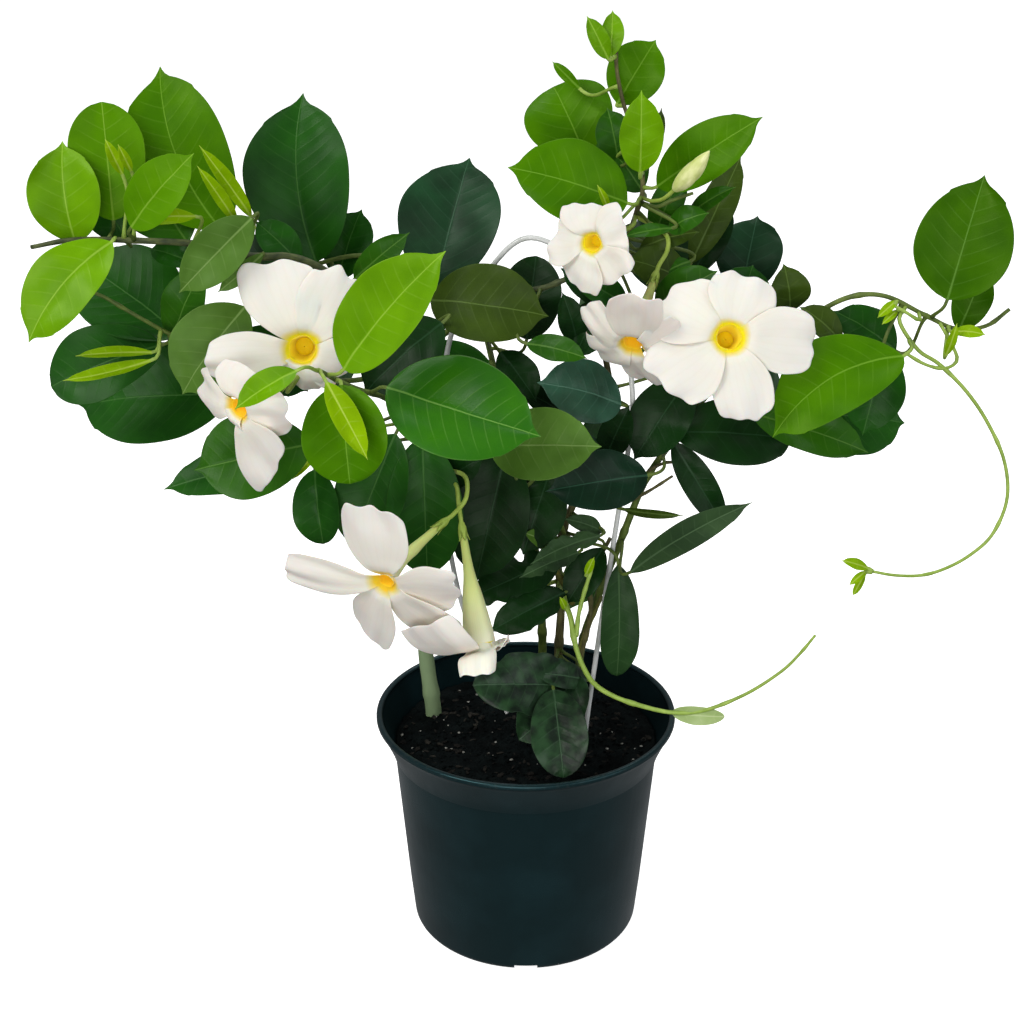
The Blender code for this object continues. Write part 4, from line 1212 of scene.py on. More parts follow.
    Leaf("crown_grey", CROWN, (40, -12, 245), (2, -34, 238), 12, T.DUSKY, 10, 4, 18, 0, 3.0, ragged=0.4),
    Leaf("crown_grey_low", CROWN, (28, -14, 236), (-4, -34, 230), 12, T.DUSKY, 0, 4, 18, 0, 3.0,
         ragged=0.5),
    Leaf("crown_grey_small", "crown_twig_middle", (18, -8, 235), (-2, -24, 252), 12, T.GREY, 0, 3),
    # Over the soil
    Leaf("soil_wavy", CROWN, (28, -8, 160), (-4, -42, 136), 34, T.CRINKLED, 0, 5, 14, 3, 4.0, blunt=True,
         ragged=0.2),
    Leaf("soil_hanging", CROWN, (15, -27, 159), (20, -63, 125), 31, T.CRINKLED, 0, 5, 10, 0, 2.0,
         widest=0.60, blunt=True),
    Leaf("soil_small", CROWN, (34, -8, 155), (4, -24, 168), 15, T.CRINKLED, 0, 4, 14, 0, 2.0),
    Leaf("soil_upper", CROWN, (28, -9, 151), (-29, -42, 170), 35, T.CRINKLED, 0, 6, 14, 0, 4.2, widest=0.6,
         blunt=True, ragged=0.2),
    # Vine tips
    Leaf("far_dark", VINE, (222, -12, 360), (234, -4, 392), 20, T.FULL),
    Leaf("far_small", VINE, (217, -22, 362), (231, -30, 363), 7, T.SPRING, 0, 2),
    Leaf("far_thin", VINE, (213, -26, 351), (216, -30, 369), 5, T.SPRING, 0, 2),
    Leaf("far_leaflet_upper", "far_twig", (188, -14, 376), (178, -20, 369), 5, T.SPRING, 0, 1),
    Leaf("far_leaflet_lower", "far_twig", (189, -14, 371), (180, -22, 366), 4, T.SPRING, 0, 1),
    Leaf("trail_upper", "trailing_vine", (177, -50, 243), (162, -56, 250), 6, T.SPRING, 0, 1),
    Leaf("trail_middle", "trailing_vine", (176, -50, 241), (167, -56, 236), 4, T.SPRING, 0, 1),
    Leaf("trail_lower", "trailing_vine", (176, -50, 240), (170, -52, 228), 4, T.SPRING, 0, 1),
    Leaf("young_folded", "young_shoot", (77, -63, 165), (104, -71, 167), 10, T.PALE, 20, 3, 10, blunt=True),
    Leaf("young_tip", "young_shoot_arm", (32, -25, 228), (36, -27, 239), 4.5, T.SPRING, 0, 1),
    Leaf("young_tip_low", "young_shoot", (21, -22, 206), (18, -28, 216), 4, T.SPRING, 0, 1),
    # Back of the plant
    Leaf("back_left_high", LEFT, (-176, 12, 400), (-214, 50, 440), 44, T.MID, 0, 5),
    Leaf("back_left", LEFT, (-128, 22, 388), (-156, 70, 352), 46, T.DARK, 0, 5),
    Leaf("back_left_low", LEFT, (-84, 24, 346), (-112, 68, 306), 44, T.DARK, 0, 5),
    Leaf("back_middle_high", TOP, (-16, 66, 343), (17, 80, 362), 34, T.DEEP, 0, 5),
    Leaf("back_middle", TOP, (-20, 52, 322), (-58, 80, 290), 46, T.DARK, 0, 5),
    Leaf("back_middle_low", TOP, (6, 40, 250), (-30, 74, 222), 42, T.MID, 0, 5),
    Leaf("back_crown", CROWN, (30, 24, 290), (52, 72, 258), 42, T.DARK, 0, 5),
    Leaf("back_crown_high", CROWN, (46, 30, 372), (30, 76, 344), 38, T.MID, 0, 5),
    Leaf("back_right", VINE, (112, 24, 326), (146, 66, 296), 42, T.DARK, 0, 5),
    Leaf("back_right_high", "back_branch_right", (82, 46, 360), (62, 82, 396), 38, T.DEEP, 0, 5),
    Leaf("back_right_low", VINE, (46, 26, 196), (20, 66, 178), 36, T.MID, 0, 5),
]


# ----------------------------------------
# Flowers


@dataclass
class Petal:
    """One petal: which way it points round the corolla, how far it reaches and how wide it is.

    Curl rolls its end back, in millimetres, roll_side turns one long edge, and skew makes its end slant as
    the petals of a pinwheel do.
    """

    turn: float
    reach: float
    width: float
    curl: float = 4.0
    roll_side: float = 0.0
    skew: float = 0.05


@dataclass
class Flower:
    """A mandevilla flower: a tube that opens into a throat and five overlapping petals, with its calyx.

    The throat's middle, the way it faces, its radius, the tube's length and the stalk are in millimetres.
    Bend is how far the tube's foot stands off the straight line behind the throat.
    """

    name: str
    stem: str
    throat: Point
    face: Point
    petals: list[Petal]
    radius: float
    tube: float
    stalk: list[Point]
    tissue: PetalTissue
    bend: Point = (0.0, 0.0, 0.0)
    across: int = 18
    along: int = 16
    sides: int = 40
    thickness: float = 0.45
    # Where a petal rises, as a share of the throat's radius, and half the turn that it takes up there
    petal_foot: float = 0.84
    petal_lean: float = 43.0
    fold_height: float = 3.4
    sepal: float = 6.5
    sepal_half: float = 1.7
    stalk_radius: float = 1.15
    # How far back each ring of the tube lies, in shares of its length, and its radius: first the foot's
    # rings in millimetres, then the flare's in shares of the throat's radius.
    foot_rings: ClassVar[Rings] = ((1.0, 1.7), (0.92, 2.0), (0.8, 2.2), (0.7, 2.6), (0.6, 3.2))
    flare_rings: ClassVar[Rings] = (
        (0.5, 0.50), (0.4, 0.60), (0.3, 0.70), (0.2, 0.79), (0.1, 0.86), (0.02, 0.885))
    # Height in millimetres and radius in shares of the throat's, for the dome that closes it
    dome_place: ClassVar[float] = 0.36
    dome_rings: ClassVar[Rings] = ((0.0, 0.57), (0.4, 0.46), (0.7, 0.30), (0.85, 0.14), (0.9, 0.02))
    # A sepal's section, as shares of its half-width and millimetres: an edge, the ridge, an edge, the back
    sepal_section: ClassVar[Rings] = ((-1, -0.25), (0, 0.22), (1, -0.25), (0, -0.22))

    def directions(self) -> tuple[Vector, Vector, Vector]:
        """Work out the flower's own directions.

        Returns:
            The directions to its right, up, and the way it faces.
        """
        face = Vector(self.face).normalized()
        up = Vector((0, 0, 1)) - face * face.z
        if up.length < 0.3:
            up = Vector((0, 1, 0)) - face * face.y
        up.normalize()
        return up.cross(face), up, face

    def tube_point(self, back: float) -> Vector:
        """Return the tube's middle, a share of its length behind the throat."""
        face = Vector(self.face).normalized()
        return Vector(self.throat) - face * self.tube * back + Vector(self.bend) * back ** 2

    def tube_frame(self, back: float) -> tuple[Vector, Vector, Vector]:
        """Work out the tube's directions at a place in it.

        Args:
            back: how far behind the throat, as a share of the tube's length.

        Returns:
            The directions to its right, up and forward along it.
        """
        right, up, face = self.directions()
        heading = (face * self.tube - Vector(self.bend) * 2 * back).normalized()
        turn = face.rotation_difference(heading)
        return turn @ right, turn @ up, heading

    def add_funnel(self, mesh: Mesh) -> None:
        """Add the tube: a narrow foot, a slow swelling, and the flare into the throat.

        Args:
            mesh: the corolla's mesh.
        """
        rows = []
        for back, radius in (*self.foot_rings, *((b, r * self.radius) for b, r in self.flare_rings)):
            right, up, _ = self.tube_frame(back)
            rows.append([mesh.add(
                self.tube_point(back)
                + spoke(turn, right, up) * radius * (1 + 0.04 * math.cos(5 * turn) * (1 - back)),
                corolla=(0.5 * (1 - back), k / self.sides),
            ) for k, turn in enumerate(around(self.sides))])
        mesh.grid(rows, 1, closed=True)

    def add_dome(self, mesh: Mesh) -> None:
        """Add the low dome that closes the throat, over the joined anthers.

        Args:
            mesh: the corolla's mesh.
        """
        right, up, face = self.directions()
        centre, sides = self.tube_point(self.dome_place), self.sides // 2
        rows = [[mesh.add(
            centre + face * height + spoke(turn, right, up) * radius * self.radius,
            corolla=(0.30, k / sides),
        ) for k, turn in enumerate(around(sides))] for height, radius in self.dome_rings]
        mesh.grid([row[::-1] for row in rows], 2, closed=True)

    def add_petal(self, mesh: Mesh, petal: Petal, place: int) -> None:
        """Add one petal, rising from its share of the throat's rim and lapping over the next.

        Args:
            mesh: the corolla's mesh.
            petal: the petal.
            place: its place round the corolla, from 0.
        """
        right, up, face = self.directions()
        turn = math.radians(petal.turn)
        forward, aside = spoke(turn, right, up), spoke(turn, up, -right)
        side = math.copysign(1.0, petal.roll_side) if petal.roll_side else 0.0
        foot = self.petal_foot * self.radius
        rows = []
        for n in range(self.along + 1):
            p = n / self.along
            spread = math.sin(math.pi / 2 * min(1.0, p / 0.68)) ** 1.05
            wide = petal.width / 2 * (1 - 0.10 * (max(0.0, p - 0.66) / 0.34) ** 2)
            row = []
            for k in range(self.across + 1):
                q = 2 * k / self.across - 1
                lean = math.radians(self.petal_lean * q)
                foot_x, foot_y = foot * math.cos(lean), foot * math.sin(lean)
                # The end is cut off almost square, and slants as the blades of a pinwheel do.
                uneven = 0.10 * noise.noise(Vector((q * 2.1, petal.turn * 0.3, place * 3.0)))
                end = petal.reach * (1 + petal.skew * q + uneven - 0.13 * abs(q) ** 3.4)
                x = foot_x + (end - foot_x) * p
                y = foot_y + (q * wide - foot_y) * spread
                # It rises out of the throat, rolls back at its end, and has a few soft folds.
                seed = Vector((place * 3.1 + q * 1.4, p * 1.7, petal.turn * 0.1))
                z = -2.4 + 4.4 * min(1.0, p / 0.16) ** 0.7 - 2.6 * p
                z -= petal.curl * p ** 2.4
                z += 1.5 * q * min(1.0, p / 0.3) * (1 - 0.4 * p)
                z += self.fold_height * noise.noise(seed) * p
                z += 0.7 * math.sin(6 * q + place * 2 + petal.turn) * p ** 4
                z -= abs(petal.roll_side) * max(0.0, side * q) ** 2 * p
                row.append(mesh.add(Vector(self.throat) + forward * x + aside * y + face * z,
                                    corolla=(0.5 + 0.5 * p, petal.turn / 360 + q * 0.1)))
            rows.append(row)
        mesh.grid(rows)

    def add_sepals(self, mesh: Mesh, foot: Vector) -> None:
        """Add the calyx's five pointed sepals.

        Args:
            mesh: the stalk's mesh.
            foot: where they start, on the tube's middle line.
        """
        right, up, face = self.tube_frame(1.0)
        for turn in around(5, 0.3):
            out, aside = spoke(turn, right, up), spoke(turn, up, -right)
            rows = []
            for n in range(7):
                p = n / 6
                width = self.sepal_half * math.sin(math.pi * (0.22 + 0.78 * p)) ** 0.8 if p < 1 else 0.08
                lift = 1.9 + 1.1 * p ** 2
                rows.append([mesh.add(
                    foot + face * self.sepal * p + out * (lift + skin) + aside * q * width,
                    bark=(0.2, p),
                ) for q, skin in self.sepal_section])
            mesh.grid(rows, closed=True)
            mesh.ends(rows)

    def build(self, garden: "Garden") -> None:
        """Build the corolla as one piece and the stalk with its calyx as another.

        Args:
            garden: the plant, which holds the stems.
        """
        mesh = Mesh(self.name + "_petals", ["corolla"])
        self.add_funnel(mesh)
        self.add_dome(mesh)
        for place, petal in enumerate(self.petals):
            self.add_petal(mesh, petal, place)
        # The solid skin's inner side takes the material that stands two places on from the outer one's.
        materials = [self.tissue.material(part) for part in ("_tube", "_tube", "", "")]
        corolla = mesh.build(materials, "petal", self.name + "_corolla")
        add_modifier(corolla, "skin", "SOLIDIFY", thickness=self.thickness * MM, offset=-1.0,
                     use_even_offset=False, material_offset=2, material_offset_rim=2)
        add_modifier(corolla, "smooth", "SUBSURF", levels=1, render_levels=1)
        face = self.tube_frame(1.0)[2]
        foot = self.tube_point(1.0)
        neck = foot - face * 6
        points = [neck, neck - face * 4, *[Vector(p) for p in self.stalk]]
        points.append(garden.seat(self.stem, points[-1]))
        # The calyx's cup is wide where the tube stands in it and narrows into the stalk.
        cup = ((1.5, 1.9), (-1.0, 2.3), (-3.0, 2.2), (-4.6, 1.7))
        route = [*(foot + face * ahead for ahead, _ in cup), *smooth_route(points, STEM_STEP)]
        radii = [*(radius for _, radius in cup), *[self.stalk_radius] * (len(route) - len(cup))]
        stalk = Mesh(self.name + "_calyx", ["bark"])
        stalk.add_tube(route, radii, 12)
        self.add_sepals(stalk, foot - face * 2.5)
        stalk.build([FLOWER_STALK.material()], "calyx", self.name + "_stalk")


FLOWERS = [
    Flower("flower_left_high", "left_shoot", (-112, -46, 360), (0.02, -0.98, 0.16), [
        Petal(60, 44, 32, 2, 0, -0.02), Petal(108, 46, 40, 2, 0, 0.12), Petal(186, 48, 24, 5),
        Petal(258, 20, 26, 8), Petal(335, 24, 28, 5)], 8.0, 38, [(-111, -4, 342)], GOLDEN),
    Flower("flower_left_low", "left_shoot", (-140, -80, 341), (-0.60, -0.78, -0.12), [
        Petal(2, 28, 26, 6), Petal(72, 21, 34, 5), Petal(178, 36, 24, 9, 6), Petal(238, 17, 20, 8),
        Petal(292, 38, 40, 2, 0, -0.22)], 5.6, 32, [(-122, -34, 334)], AMBER),
    Flower("flower_front_left", "left_main_stem", (-70, -98, 257), (-0.36, -0.82, -0.32), [
        Petal(358, 38, 34, 4, 0, 0.06), Petal(90, 47, 35, 2, 0, 0.04), Petal(187, 62, 21, 4),
        Petal(246, 54, 27, 4, 0, 0.08), Petal(308, 42, 32, 6)], 4.8, 34,
        [(-31, -62, 287), (-32, -44, 292), (-44, -22, 288)], AMBER, (13, 1, 6)),
    Flower("flower_hanging", "left_main_stem", (-24, -84, 215), (0.15, -0.38, -0.91), [
        Petal(20, 15, 22, 2), Petal(66, 15, 22, -2), Petal(116, 27, 20, -12), Petal(156, 38, 38, 16),
        Petal(240, 24, 22, 8)], 9.2, 58, [(-35, -54, 281), (-37, -40, 286), (-45, -20, 278)], GOLDEN),
    Flower("flower_right_small", "crown_stem", (31, -42, 413), (-0.36, -0.90, 0.10), [
        Petal(30, 19, 27, 1, 0, 0.16), Petal(104, 19, 27, 1, 0, 0.16), Petal(178, 21, 27, 1, 0, 0.16),
        Petal(250, 23, 27, 1, 0, 0.14), Petal(310, 22, 27, 1, 0, 0.06)], 5.2, 26, [(53, -6, 413)], GOLDEN),
    Flower("flower_right_middle", "crown_stem", (51, -54, 365), (-0.30, -0.76, -0.58), [
        Petal(14, 25, 26, 9), Petal(78, 38, 28, 1, 0, -0.04), Petal(150, 28, 26, 8, 4),
        Petal(218, 30, 26, 8), Petal(276, 38, 24, 5)], 5.6, 42, [(71, -10, 402), (70, 0, 408)], AMBER),
    Flower("flower_right_large", "right_vine", (98, -60, 371), (0.02, -0.92, 0.38), [
        Petal(356, 42, 33, 4, 0, 0.0), Petal(72, 32, 35, 3, 0, 0.02), Petal(148, 37, 38, 3, 0, 0.14),
        Petal(214, 41, 38, 3, 0, -0.06), Petal(284, 41, 30, 4, 0, 0.02)], 7.2, 42,
        [(99, -10, 346)], GOLDEN),
]


@dataclass
class Bud:
    """A closed flower bud: petals wound in a spiral over a short stalk, swelling to its middle."""

    name: str = "flower_bud"
    stem: str = "crown_stem"
    route: tuple[Point, ...] = (
        (63, 1, 424), (68, -11, 428), (75, -20, 437), (82, -25, 446), (88, -28, 455))
    radius: float = 4.6
    stalk_radius: float = 1.0
    stalk_share: float = 0.46
    petals: int = 5
    spiral: float = 2.6
    seam_depth: float = 0.10
    step: float = 1.2
    sides: int = 30

    def build(self, garden: "Garden") -> None:
        """Build the bud with its spiral seams.

        Args:
            garden: the plant, which holds the stems.
        """
        line = smooth_route(self.route, self.step)
        line.insert(0, garden.seat(self.stem, line[0]))
        mesh = Mesh(self.name + "_petals", ["bark"])
        rows = []
        for k, ((right, up), centre) in enumerate(zip(turn_frames(line), line)):
            share = k / (len(line) - 1)
            swell = max(0.0, (share - self.stalk_share) / (1 - self.stalk_share))
            plump = math.sin(math.pi * min(swell ** 0.85, 1.0)) ** 0.75 if swell < 1 else 0.02
            radius = max(self.stalk_radius * (1 - swell ** 6), 0.25)
            radius += (self.radius - self.stalk_radius) * plump
            row = []
            for n, turn in enumerate(around(self.sides)):
                across_seam = abs(math.cos(self.petals / 2 * (turn + self.spiral * swell)))
                seam = 1 - self.seam_depth * plump * across_seam ** 6
                row.append(mesh.add(centre + spoke(turn, right, up) * radius * seam,
                                    bark=(there_and_back(n, self.sides), k * 0.12)))
            rows.append(row)
        petals, stalk = range(2)
        last_of_stalk = math.ceil(self.stalk_share * len(rows))
        mesh.grid(rows[:last_of_stalk + 1], stalk, closed=True)
        mesh.grid(rows[last_of_stalk:], petals, closed=True)
        mesh.ends(rows, stalk, petals)
        mesh.build([BUD_TISSUE.material(), FLOWER_STALK.material()], "bud", self.name)


# ----------------------------------------
# Pot, soil and hoop


@dataclass
class NurseryPot:
    """The moulded pot: a tapered wall, a flared collar with a rolled lip, a foot ring and drain holes."""

    height: float = 133.0
    rim_radius: float = 85.0
    collar_drop: float = 23.0
    top_radius: float = 75.0
    base_radius: float = 65.5
    wall: float = 1.8
    lip_width: float = 3.4
    lip_drop: float = 3.0
    lip_round: float = 1.3
    collar_step: float = 1.2
    collar_hollow: float = 1.15
    inner_corner: float = 3.0
    heel_round: float = 4.5
    pad_radius: float = 22.0
    foot_inner: float = 51.0
    foot_lift: float = 3.0
    drain_count: int = 6
    drain_circle: float = 37.0
    drain_radius: float = 5.5
    drain_cut: float = 18.0
    notch_count: int = 3
    notch_width: float = 13.0
    notch_height: float = 3.8
    sharp_angle: float = 38.0
    steps: int = 120

    def body_radius(self, z: float) -> float:
        """Return the wall's outer radius at a height."""
        share = z / (self.height - self.collar_drop)
        return self.base_radius + (self.top_radius - self.base_radius) * share

    def collar(self) -> list[tuple[float, float]]:
        """Work out the collar's outer profile, which is a slightly hollow cone.

        Returns:
            Pairs of radius and height, from under the lip down to the step.
        """
        top, bottom = self.height - self.lip_drop, self.height - self.collar_drop + self.collar_step
        step = self.top_radius + self.collar_step
        flare = self.rim_radius - 0.6 - step
        shares = [k / 8 for k in range(9)]
        return [(step + flare * (1 - s) ** self.collar_hollow, top + (bottom - top) * s) for s in shares]

    def profile(self) -> list[tuple[float, float]]:
        """Work out the pot's whole profile.

        Returns:
            Pairs of radius and height, from the middle of the floor over the lip and back under the base.
        """
        floor = self.foot_lift + self.wall
        collar = self.collar()
        step_z = self.height - self.collar_drop
        inner = [(x - self.wall, z) for x, z in reversed(collar)]
        middle, half = self.rim_radius - self.lip_width / 2, self.lip_width / 2
        turns = [math.radians(180.0 * k / 8) for k in range(9)]
        lip = [(middle - half * math.cos(t), self.height - self.lip_round + self.lip_round * math.sin(t))
               for t in turns]
        turns = [math.radians(90.0 * k / 6) for k in range(7)]
        heel = [(self.body_radius(0) - self.heel_round * (1 - math.cos(t)),
                 self.heel_round * (1 - math.sin(t))) for t in turns]
        outer = [(self.body_radius(share * step_z), share * step_z) for share in (1, 0.75, 0.5, 0.25)]
        return [
            (0, floor),
            (self.body_radius(floor) - self.wall - self.inner_corner, floor),
            (self.body_radius(floor) - self.wall, floor + self.inner_corner),
            (self.body_radius(step_z) - self.wall, step_z - 1.0),
            *inner,
            *lip,
            (self.rim_radius, self.height - self.lip_drop + 0.4),
            *collar,
            (self.top_radius + 0.9, step_z + 0.2),
            *outer,
            *heel,
            (self.foot_inner + 1.0, 0),
            (self.foot_inner, self.foot_lift),
            (self.pad_radius + 1.0, self.foot_lift),
            (self.pad_radius, 0),
            (0, 0),
        ]

    def cutters(self) -> list[bpy.types.Object]:
        """Make the tools that cut the drain holes and the notches in the foot ring.

        Returns:
            The tools.
        """
        drains = level_ring(self.drain_circle, self.foot_lift, self.drain_count, 0.5)
        made = [make_cutter(f"drain_{k + 1}", 32, self.drain_radius, self.drain_cut, place)
                for k, place in enumerate(drains)]
        ring_width = self.base_radius - self.foot_inner
        # A quarter turn back, so that the first notch faces the front
        start = -0.25 * self.notch_count
        turns = around(self.notch_count, start)
        places = level_ring((self.foot_inner + self.base_radius) / 2, 0.0, self.notch_count, start)
        for k, (turn, place) in enumerate(zip(turns, places)):
            # A prism of four sides and unit width, stretched to the notch
            tool = make_cutter(f"notch_{k + 1}", 4, math.sqrt(0.5), 1.0, place, math.pi / 4)
            tool.rotation_euler.z = turn
            tool.scale = (1.6 * ring_width, self.notch_width, 2 * self.notch_height)
            made.append(tool)
        return made

    def build(self) -> None:
        """Turn the pot's profile round its axis and cut its holes."""
        mesh = Mesh("pot_moulding")
        rows = [[mesh.add(p) for p in level_ring(radius, z, self.steps if radius else 1)]
                for radius, z in self.profile()]
        mesh.cap(rows[1:-1], rows[0][0], rows[-1][0])
        outer, inner = range(2)
        inner_rings = 4 + len(self.collar()) - 2
        for ring, (low, high) in enumerate(zip(rows[1:-1], rows[2:-1])):
            for k in range(self.steps):
                n = (k + 1) % self.steps
                mesh.face((low[k], high[k], high[n], low[n]), inner if ring < inner_rings else outer)
        plastic = MouldedPolypropylene()
        pot = mesh.build([plastic.material(), plastic.material("_inside")], "pot_plastic", "pot")
        for tool in self.cutters():
            add_modifier(pot, tool.name, "BOOLEAN", operation="DIFFERENCE", solver="EXACT", object=tool)
        apply_cuts(pot)
        pot.data.set_sharp_from_angle(angle=math.radians(self.sharp_angle))


def make_cutter(name: str, sides: int, radius: float, depth: float, place: Vector,
                turn: float = 0.0) -> bpy.types.Object:
    """Make a hidden prism that cuts a hole.

    Args:
        name: its name.
        sides: how many sides it has.
        radius: its radius in millimetres, or in shares of its scale.
        depth: its height.
        place: its middle.
        turn: how far its sides are turned.

    Returns:
        The tool.
    """
    bm = bmesh.new()
    bmesh.ops.create_cone(bm, cap_ends=True, segments=sides, radius1=radius * MM, radius2=radius * MM,
                          depth=depth * MM)
    bmesh.ops.rotate(bm, verts=bm.verts, matrix=Quaternion((0, 0, 1), turn).to_matrix())
    mesh = bpy.data.meshes.new("cutter_" + name)
    bm.to_mesh(mesh)
    bm.free()
    tool = place_object("cutter_" + name, mesh, place * MM)
    tool.hide_render = True
    return tool


def apply_cuts(obj: bpy.types.Object) -> None:
    """Replace an object's mesh by what its modifiers make, and remove them with their cutters.

    Args:
        obj: the object.
    """
    bpy.context.view_layer.update()
    graph = bpy.context.evaluated_depsgraph_get()
    made = bpy.data.meshes.new_from_object(obj.evaluated_get(graph))
    tools = [m.object for m in obj.modifiers]
    obj.modifiers.clear()
    obj.data = made
    for tool in tools:
        bpy.data.objects.remove(tool, do_unlink=True)


@dataclass
class PottingSoil:
    """Peat compost with bark chips and perlite: a crumbly top over a plain sunk body."""

    pot: NurseryPot
    gap: float = 0.3
    top: float = 115.0
    shoulder: float = 108.8
    spread: float = 1.2
    floor: float = 5.1
    edge_radius: float = 74.0
    edge_width: float = 20.0
    hump: float = 1.4
    crumb: float = 1.9
    clod_size: float = 11.0
    cell_size: float = 4.2
    crumb_size: float = 2.6
    scatter_radius: float = 71.0
    chips: int = 260
    grains: int = 70
    rows: int = 84
    steps: int = 170
    seed: int = 11

    def radius_at(self, z: float) -> float:
        """Return the soil's radius inside the pot's wall at a height."""
        return self.pot.body_radius(z) - self.pot.wall - self.gap

    def height_at(self, x: float, y: float) -> float:
        """Work out the height of the crumbly top.

        Args:
            x: the place's X, from the pot's axis.
            y: its Y.

        Returns:
            The height above the floor.
        """
        # The humps die away to a level edge.
        level = min(1.0, (self.edge_radius - math.hypot(x, y)) / self.edge_width)
        humps = self.hump * math.sin(x / 13.0 + 1.0) * math.cos(y / 11.0 - 0.5) * level
        clods = noise.fractal(Vector((x, y, 0.0)) / self.clod_size, 1.0, 2.0, 4)
        cells = noise.voronoi(Vector((x, y, 3.0)) / self.cell_size)[0]
        crumbs = noise.fractal(Vector((x, y, 9.0)) / self.crumb_size, 1.0, 2.1, 3)
        rough = 1.1 * clods + 0.9 * (cells[1] - cells[0]) + 0.45 * crumbs - 0.4
        return self.top + humps + self.crumb * rough

    def build(self) -> None:
        """Build the soil's body, then scatter bark chips and perlite grains over it."""
        mesh = Mesh("soil_compost")
        wall = self.radius_at(self.shoulder) + self.spread
        top_middle = mesh.add(Vector((0, 0, self.height_at(0, 0))))
        rows = []
        for n in range(1, self.rows + 1):
            radius = wall * (n / self.rows) ** 0.85
            places = [(radius * math.cos(t), radius * math.sin(t)) for t in around(self.steps)]
            rows.append([mesh.add(Vector((x, y, self.height_at(x, y)))) for x, y in places])
        for z in (self.shoulder, self.floor):
            rows.append([mesh.add(p) for p in level_ring(self.radius_at(z), z, self.steps)])
        mesh.grid([row[::-1] for row in rows], closed=True)
        mesh.cap(rows, top_middle, mesh.add(Vector((0, 0, self.floor))))
        mesh.build([PEAT.material()], "potting_soil", "soil")
        draw = random.Random(self.seed)
        self.scatter("soil_bark_chips", self.chips, BARK_CHIP, (2.4, 6.5), (0.28, 0.6), draw)
        self.scatter("soil_crumbs", 3 * self.chips, PEAT, (1.2, 3.2), (0.6, 1.0), draw)
        self.scatter("soil_perlite", self.grains, PERLITE, (0.9, 2.2), (0.7, 1.0), draw)

    def scatter(self, name: str, count: int, finish: GrittySolid, length: tuple[float, float],
                slim: tuple[float, float], draw: random.Random) -> None:
        """Scatter small rough lumps over the top of the soil, as one piece.

        Args:
            name: the piece's name.
            count: how many lumps.
            finish: their material.
            length: the shortest and the longest lump.
            slim: the least and the most of a lump's width for its length.
            draw: the source of random numbers.
        """
        mesh = Mesh(name)
        ball = bmesh.new()
        bmesh.ops.create_icosphere(ball, subdivisions=1, radius=1.0)
        corners = [v.co.copy() for v in ball.verts]
        faces = [tuple(v.index for v in f.verts) for f in ball.faces]
        ball.free()
        for _ in range(count):
            radius = self.scatter_radius * math.sqrt(draw.random())
            turn = draw.uniform(0, math.tau)
            x, y = radius * math.cos(turn), radius * math.sin(turn)
            size = draw.uniform(*length) / 2
            share = draw.uniform(*slim)
            spin = Quaternion((0, 0, 1), draw.uniform(0, math.tau))
            spin @= Quaternion((1, 0, 0), draw.uniform(-0.5, 0.5))
            centre = Vector((x, y, self.height_at(x, y) + 0.35 * size * share))
            first = len(mesh.points)
            for corner in corners:
                rough = 1 + 0.35 * noise.noise(corner * 1.7 + centre)
                lump = Vector((corner.x * size, corner.y * size * share, corner.z * size * share * 0.6))
                mesh.add(centre + spin @ (lump * rough))
            for face in faces:
                mesh.face([first + n for n in face])
        piece = mesh.build([finish.material()], "potting_soil")
        for polygon in piece.data.polygons:
            polygon.use_smooth = False


@dataclass
class WireHoop:
    """The hoop that carries the vine: one coated wire, pushed into the soil at both ends."""

    radius: float = 1.4
    step: float = 3.0
    sides: int = 16
    route: tuple[Point, ...] = (
        (34, -5, STEM_FOOT), (34, -5, 118), (39, -5, 166), (44, -5, 209), (50, -4, 257), (54, -3, 288),
        (56, -2, 319), (50, 2, 356), (35, 6, 384), (15, 9, 399), (-2, 12, 402), (-18, 15, 387),
        (-38, 18, 355), (-46, 21, 311), (-46, 23, 252), (-37, 25, 189), (-19, 27, 138), (-12, 27, 124),
        (-11, 27, 112), (-11, 27, STEM_FOOT))

    def build(self) -> None:
        """Build the hoop's wire."""
        route = smooth_route(self.route, self.step)
        mesh = Mesh("hoop_wire", ["bark"])
        mesh.add_tube(route, [self.radius] * len(route), self.sides)
        mesh.build([CoatedWire().material()], "coated_wire", "hoop_support")


# ----------------------------------------
# The plant and the studio


@dataclass
class Garden:
    """The whole plant: its stems first, then the leaves and flowers that grow on them."""

    # Each stem's centre line and radii, once it is built
    routes: dict[str, tuple[list[Vector], list[float]]] = field(default_factory=dict)

    def seat(self, stem: str, point: Vector) -> Vector:
        """Find where something that heads for a point leaves a stem.

        Args:
            stem: the stem's name.
            point: the point that it heads for.

        Returns:
            A point just inside the skin, at the part of the stem that is nearest to that point.
        """
        route, radii = self.routes[stem]
        place, radius = min(zip(route, radii), key=lambda pair: (pair[0] - point).length_squared)
        return place + (point - place).normalized() * radius * SEAT_DEPTH

    def build(self) -> None:
        """Build every stem, leaf and flower."""
        for piece in (*STEMS, *LEAVES, *FLOWERS, Bud()):
            piece.build(self)


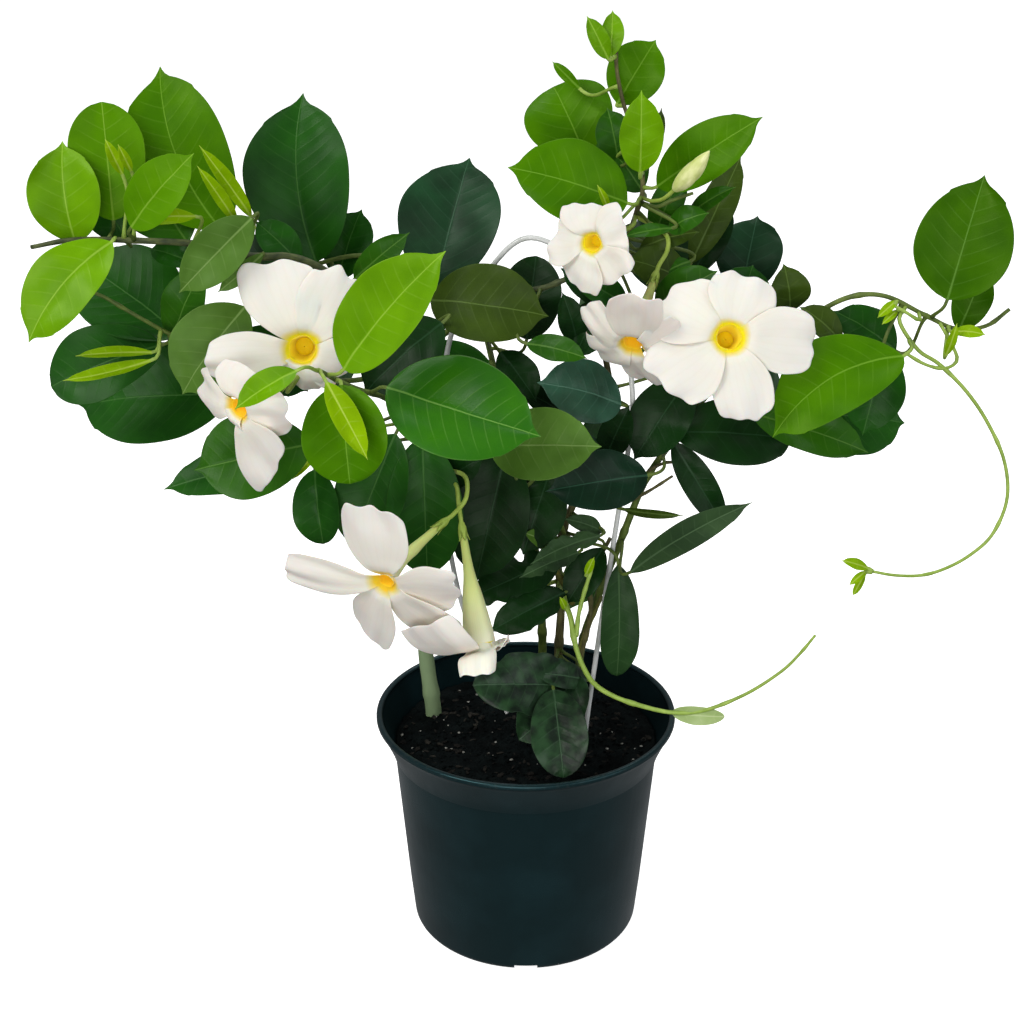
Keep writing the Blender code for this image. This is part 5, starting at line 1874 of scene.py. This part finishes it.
@dataclass
class Studio:
    """A plain pale floor, soft light from large panels, and the camera. Its places are in metres."""

    camera_place: Point = (-0.0078, -0.8755, 0.6165)
    camera_pitch: float = 67.5
    lens: float = 61.24
    sensor: float = 36.0
    floor_size: float = 60.0
    sky: str = "#F4F7FA"
    sky_strength: float = 0.26
    aim: Point = (0, 0, 0.28)
    # Each light panel's name, place, side, power and colour
    panels: ClassVar[tuple[tuple[str, Point, float, float, str], ...]] = (
        ("key_panel", (-1.6, -1.3, 2.2), 1.3, 43.0, "#FFFCFA"),
        ("fill_panel", (1.8, -1.3, 1.0), 1.6, 15.0, "#F8FAFF"),
        ("front_panel", (-0.2, -2.0, 0.35), 1.2, 21.0, "#FFFBFA"),
        ("top_panel", (0.4, 1.0, 2.4), 1.6, 20.0, "#FFFFFF"),
    )

    def build(self) -> None:
        """Build the floor, the lights and the camera."""
        scene = bpy.context.scene
        mesh = bpy.data.meshes.new("floor")
        half = self.floor_size / 2
        mesh.from_pydata([(-half, -half, 0), (half, -half, 0), (half, half, 0), (-half, half, 0)], [],
                         [(0, 1, 2, 3)])
        mesh.materials.append(MattPaint().material())
        floor = place_object("floor", mesh)
        # The floor's own light is for the picture: it would wash out the shade under the leaves.
        floor.visible_diffuse = False
        floor.visible_glossy = False
        world = bpy.data.worlds.new("pale_room")
        world.use_nodes = True
        sky = next(n for n in world.node_tree.nodes if n.type == "BACKGROUND")
        sky.inputs["Color"].default_value = linear(self.sky)
        sky.inputs["Strength"].default_value = self.sky_strength
        scene.world = world
        for panel in self.panels:
            self.add_panel(*panel)
        camera = bpy.data.cameras.new("camera")
        camera.lens = self.lens
        camera.sensor_width = self.sensor
        scene.camera = place_object("camera", camera, self.camera_place)
        scene.camera.rotation_euler = (math.radians(self.camera_pitch), 0, 0)
        scene.view_settings.view_transform = "Standard"

    def add_panel(self, name: str, place: Point, size: float, power: float, colour: str) -> None:
        """Add a square light panel that faces the plant.

        Args:
            name: its name.
            place: its middle, in metres.
            size: its side, in metres.
            power: its power, in watts.
            colour: its colour.
        """
        light = bpy.data.lights.new(name, "AREA")
        light.size = size
        light.energy = power
        light.color = linear(colour)[:3]
        aim = Vector(self.aim) - Vector(place)
        place_object(name, light, place).rotation_euler = aim.to_track_quat("-Z", "Y").to_euler()


def main() -> None:
    """Build the pot, the soil, the hoop and the plant, then the studio."""
    logging.basicConfig(level=logging.INFO, format="%(name)s: %(message)s")
    pot = NurseryPot()
    for sub_assembly in (pot, PottingSoil(pot), WireHoop(), Garden(), Studio()):
        known = set(bpy.data.objects)
        sub_assembly.build()
        for piece in sorted(set(bpy.data.objects) - known, key=lambda made: made.name):
            LOG.info("%s: %s", type(sub_assembly).__name__, piece.name)


if __name__ == "__main__":
    main()
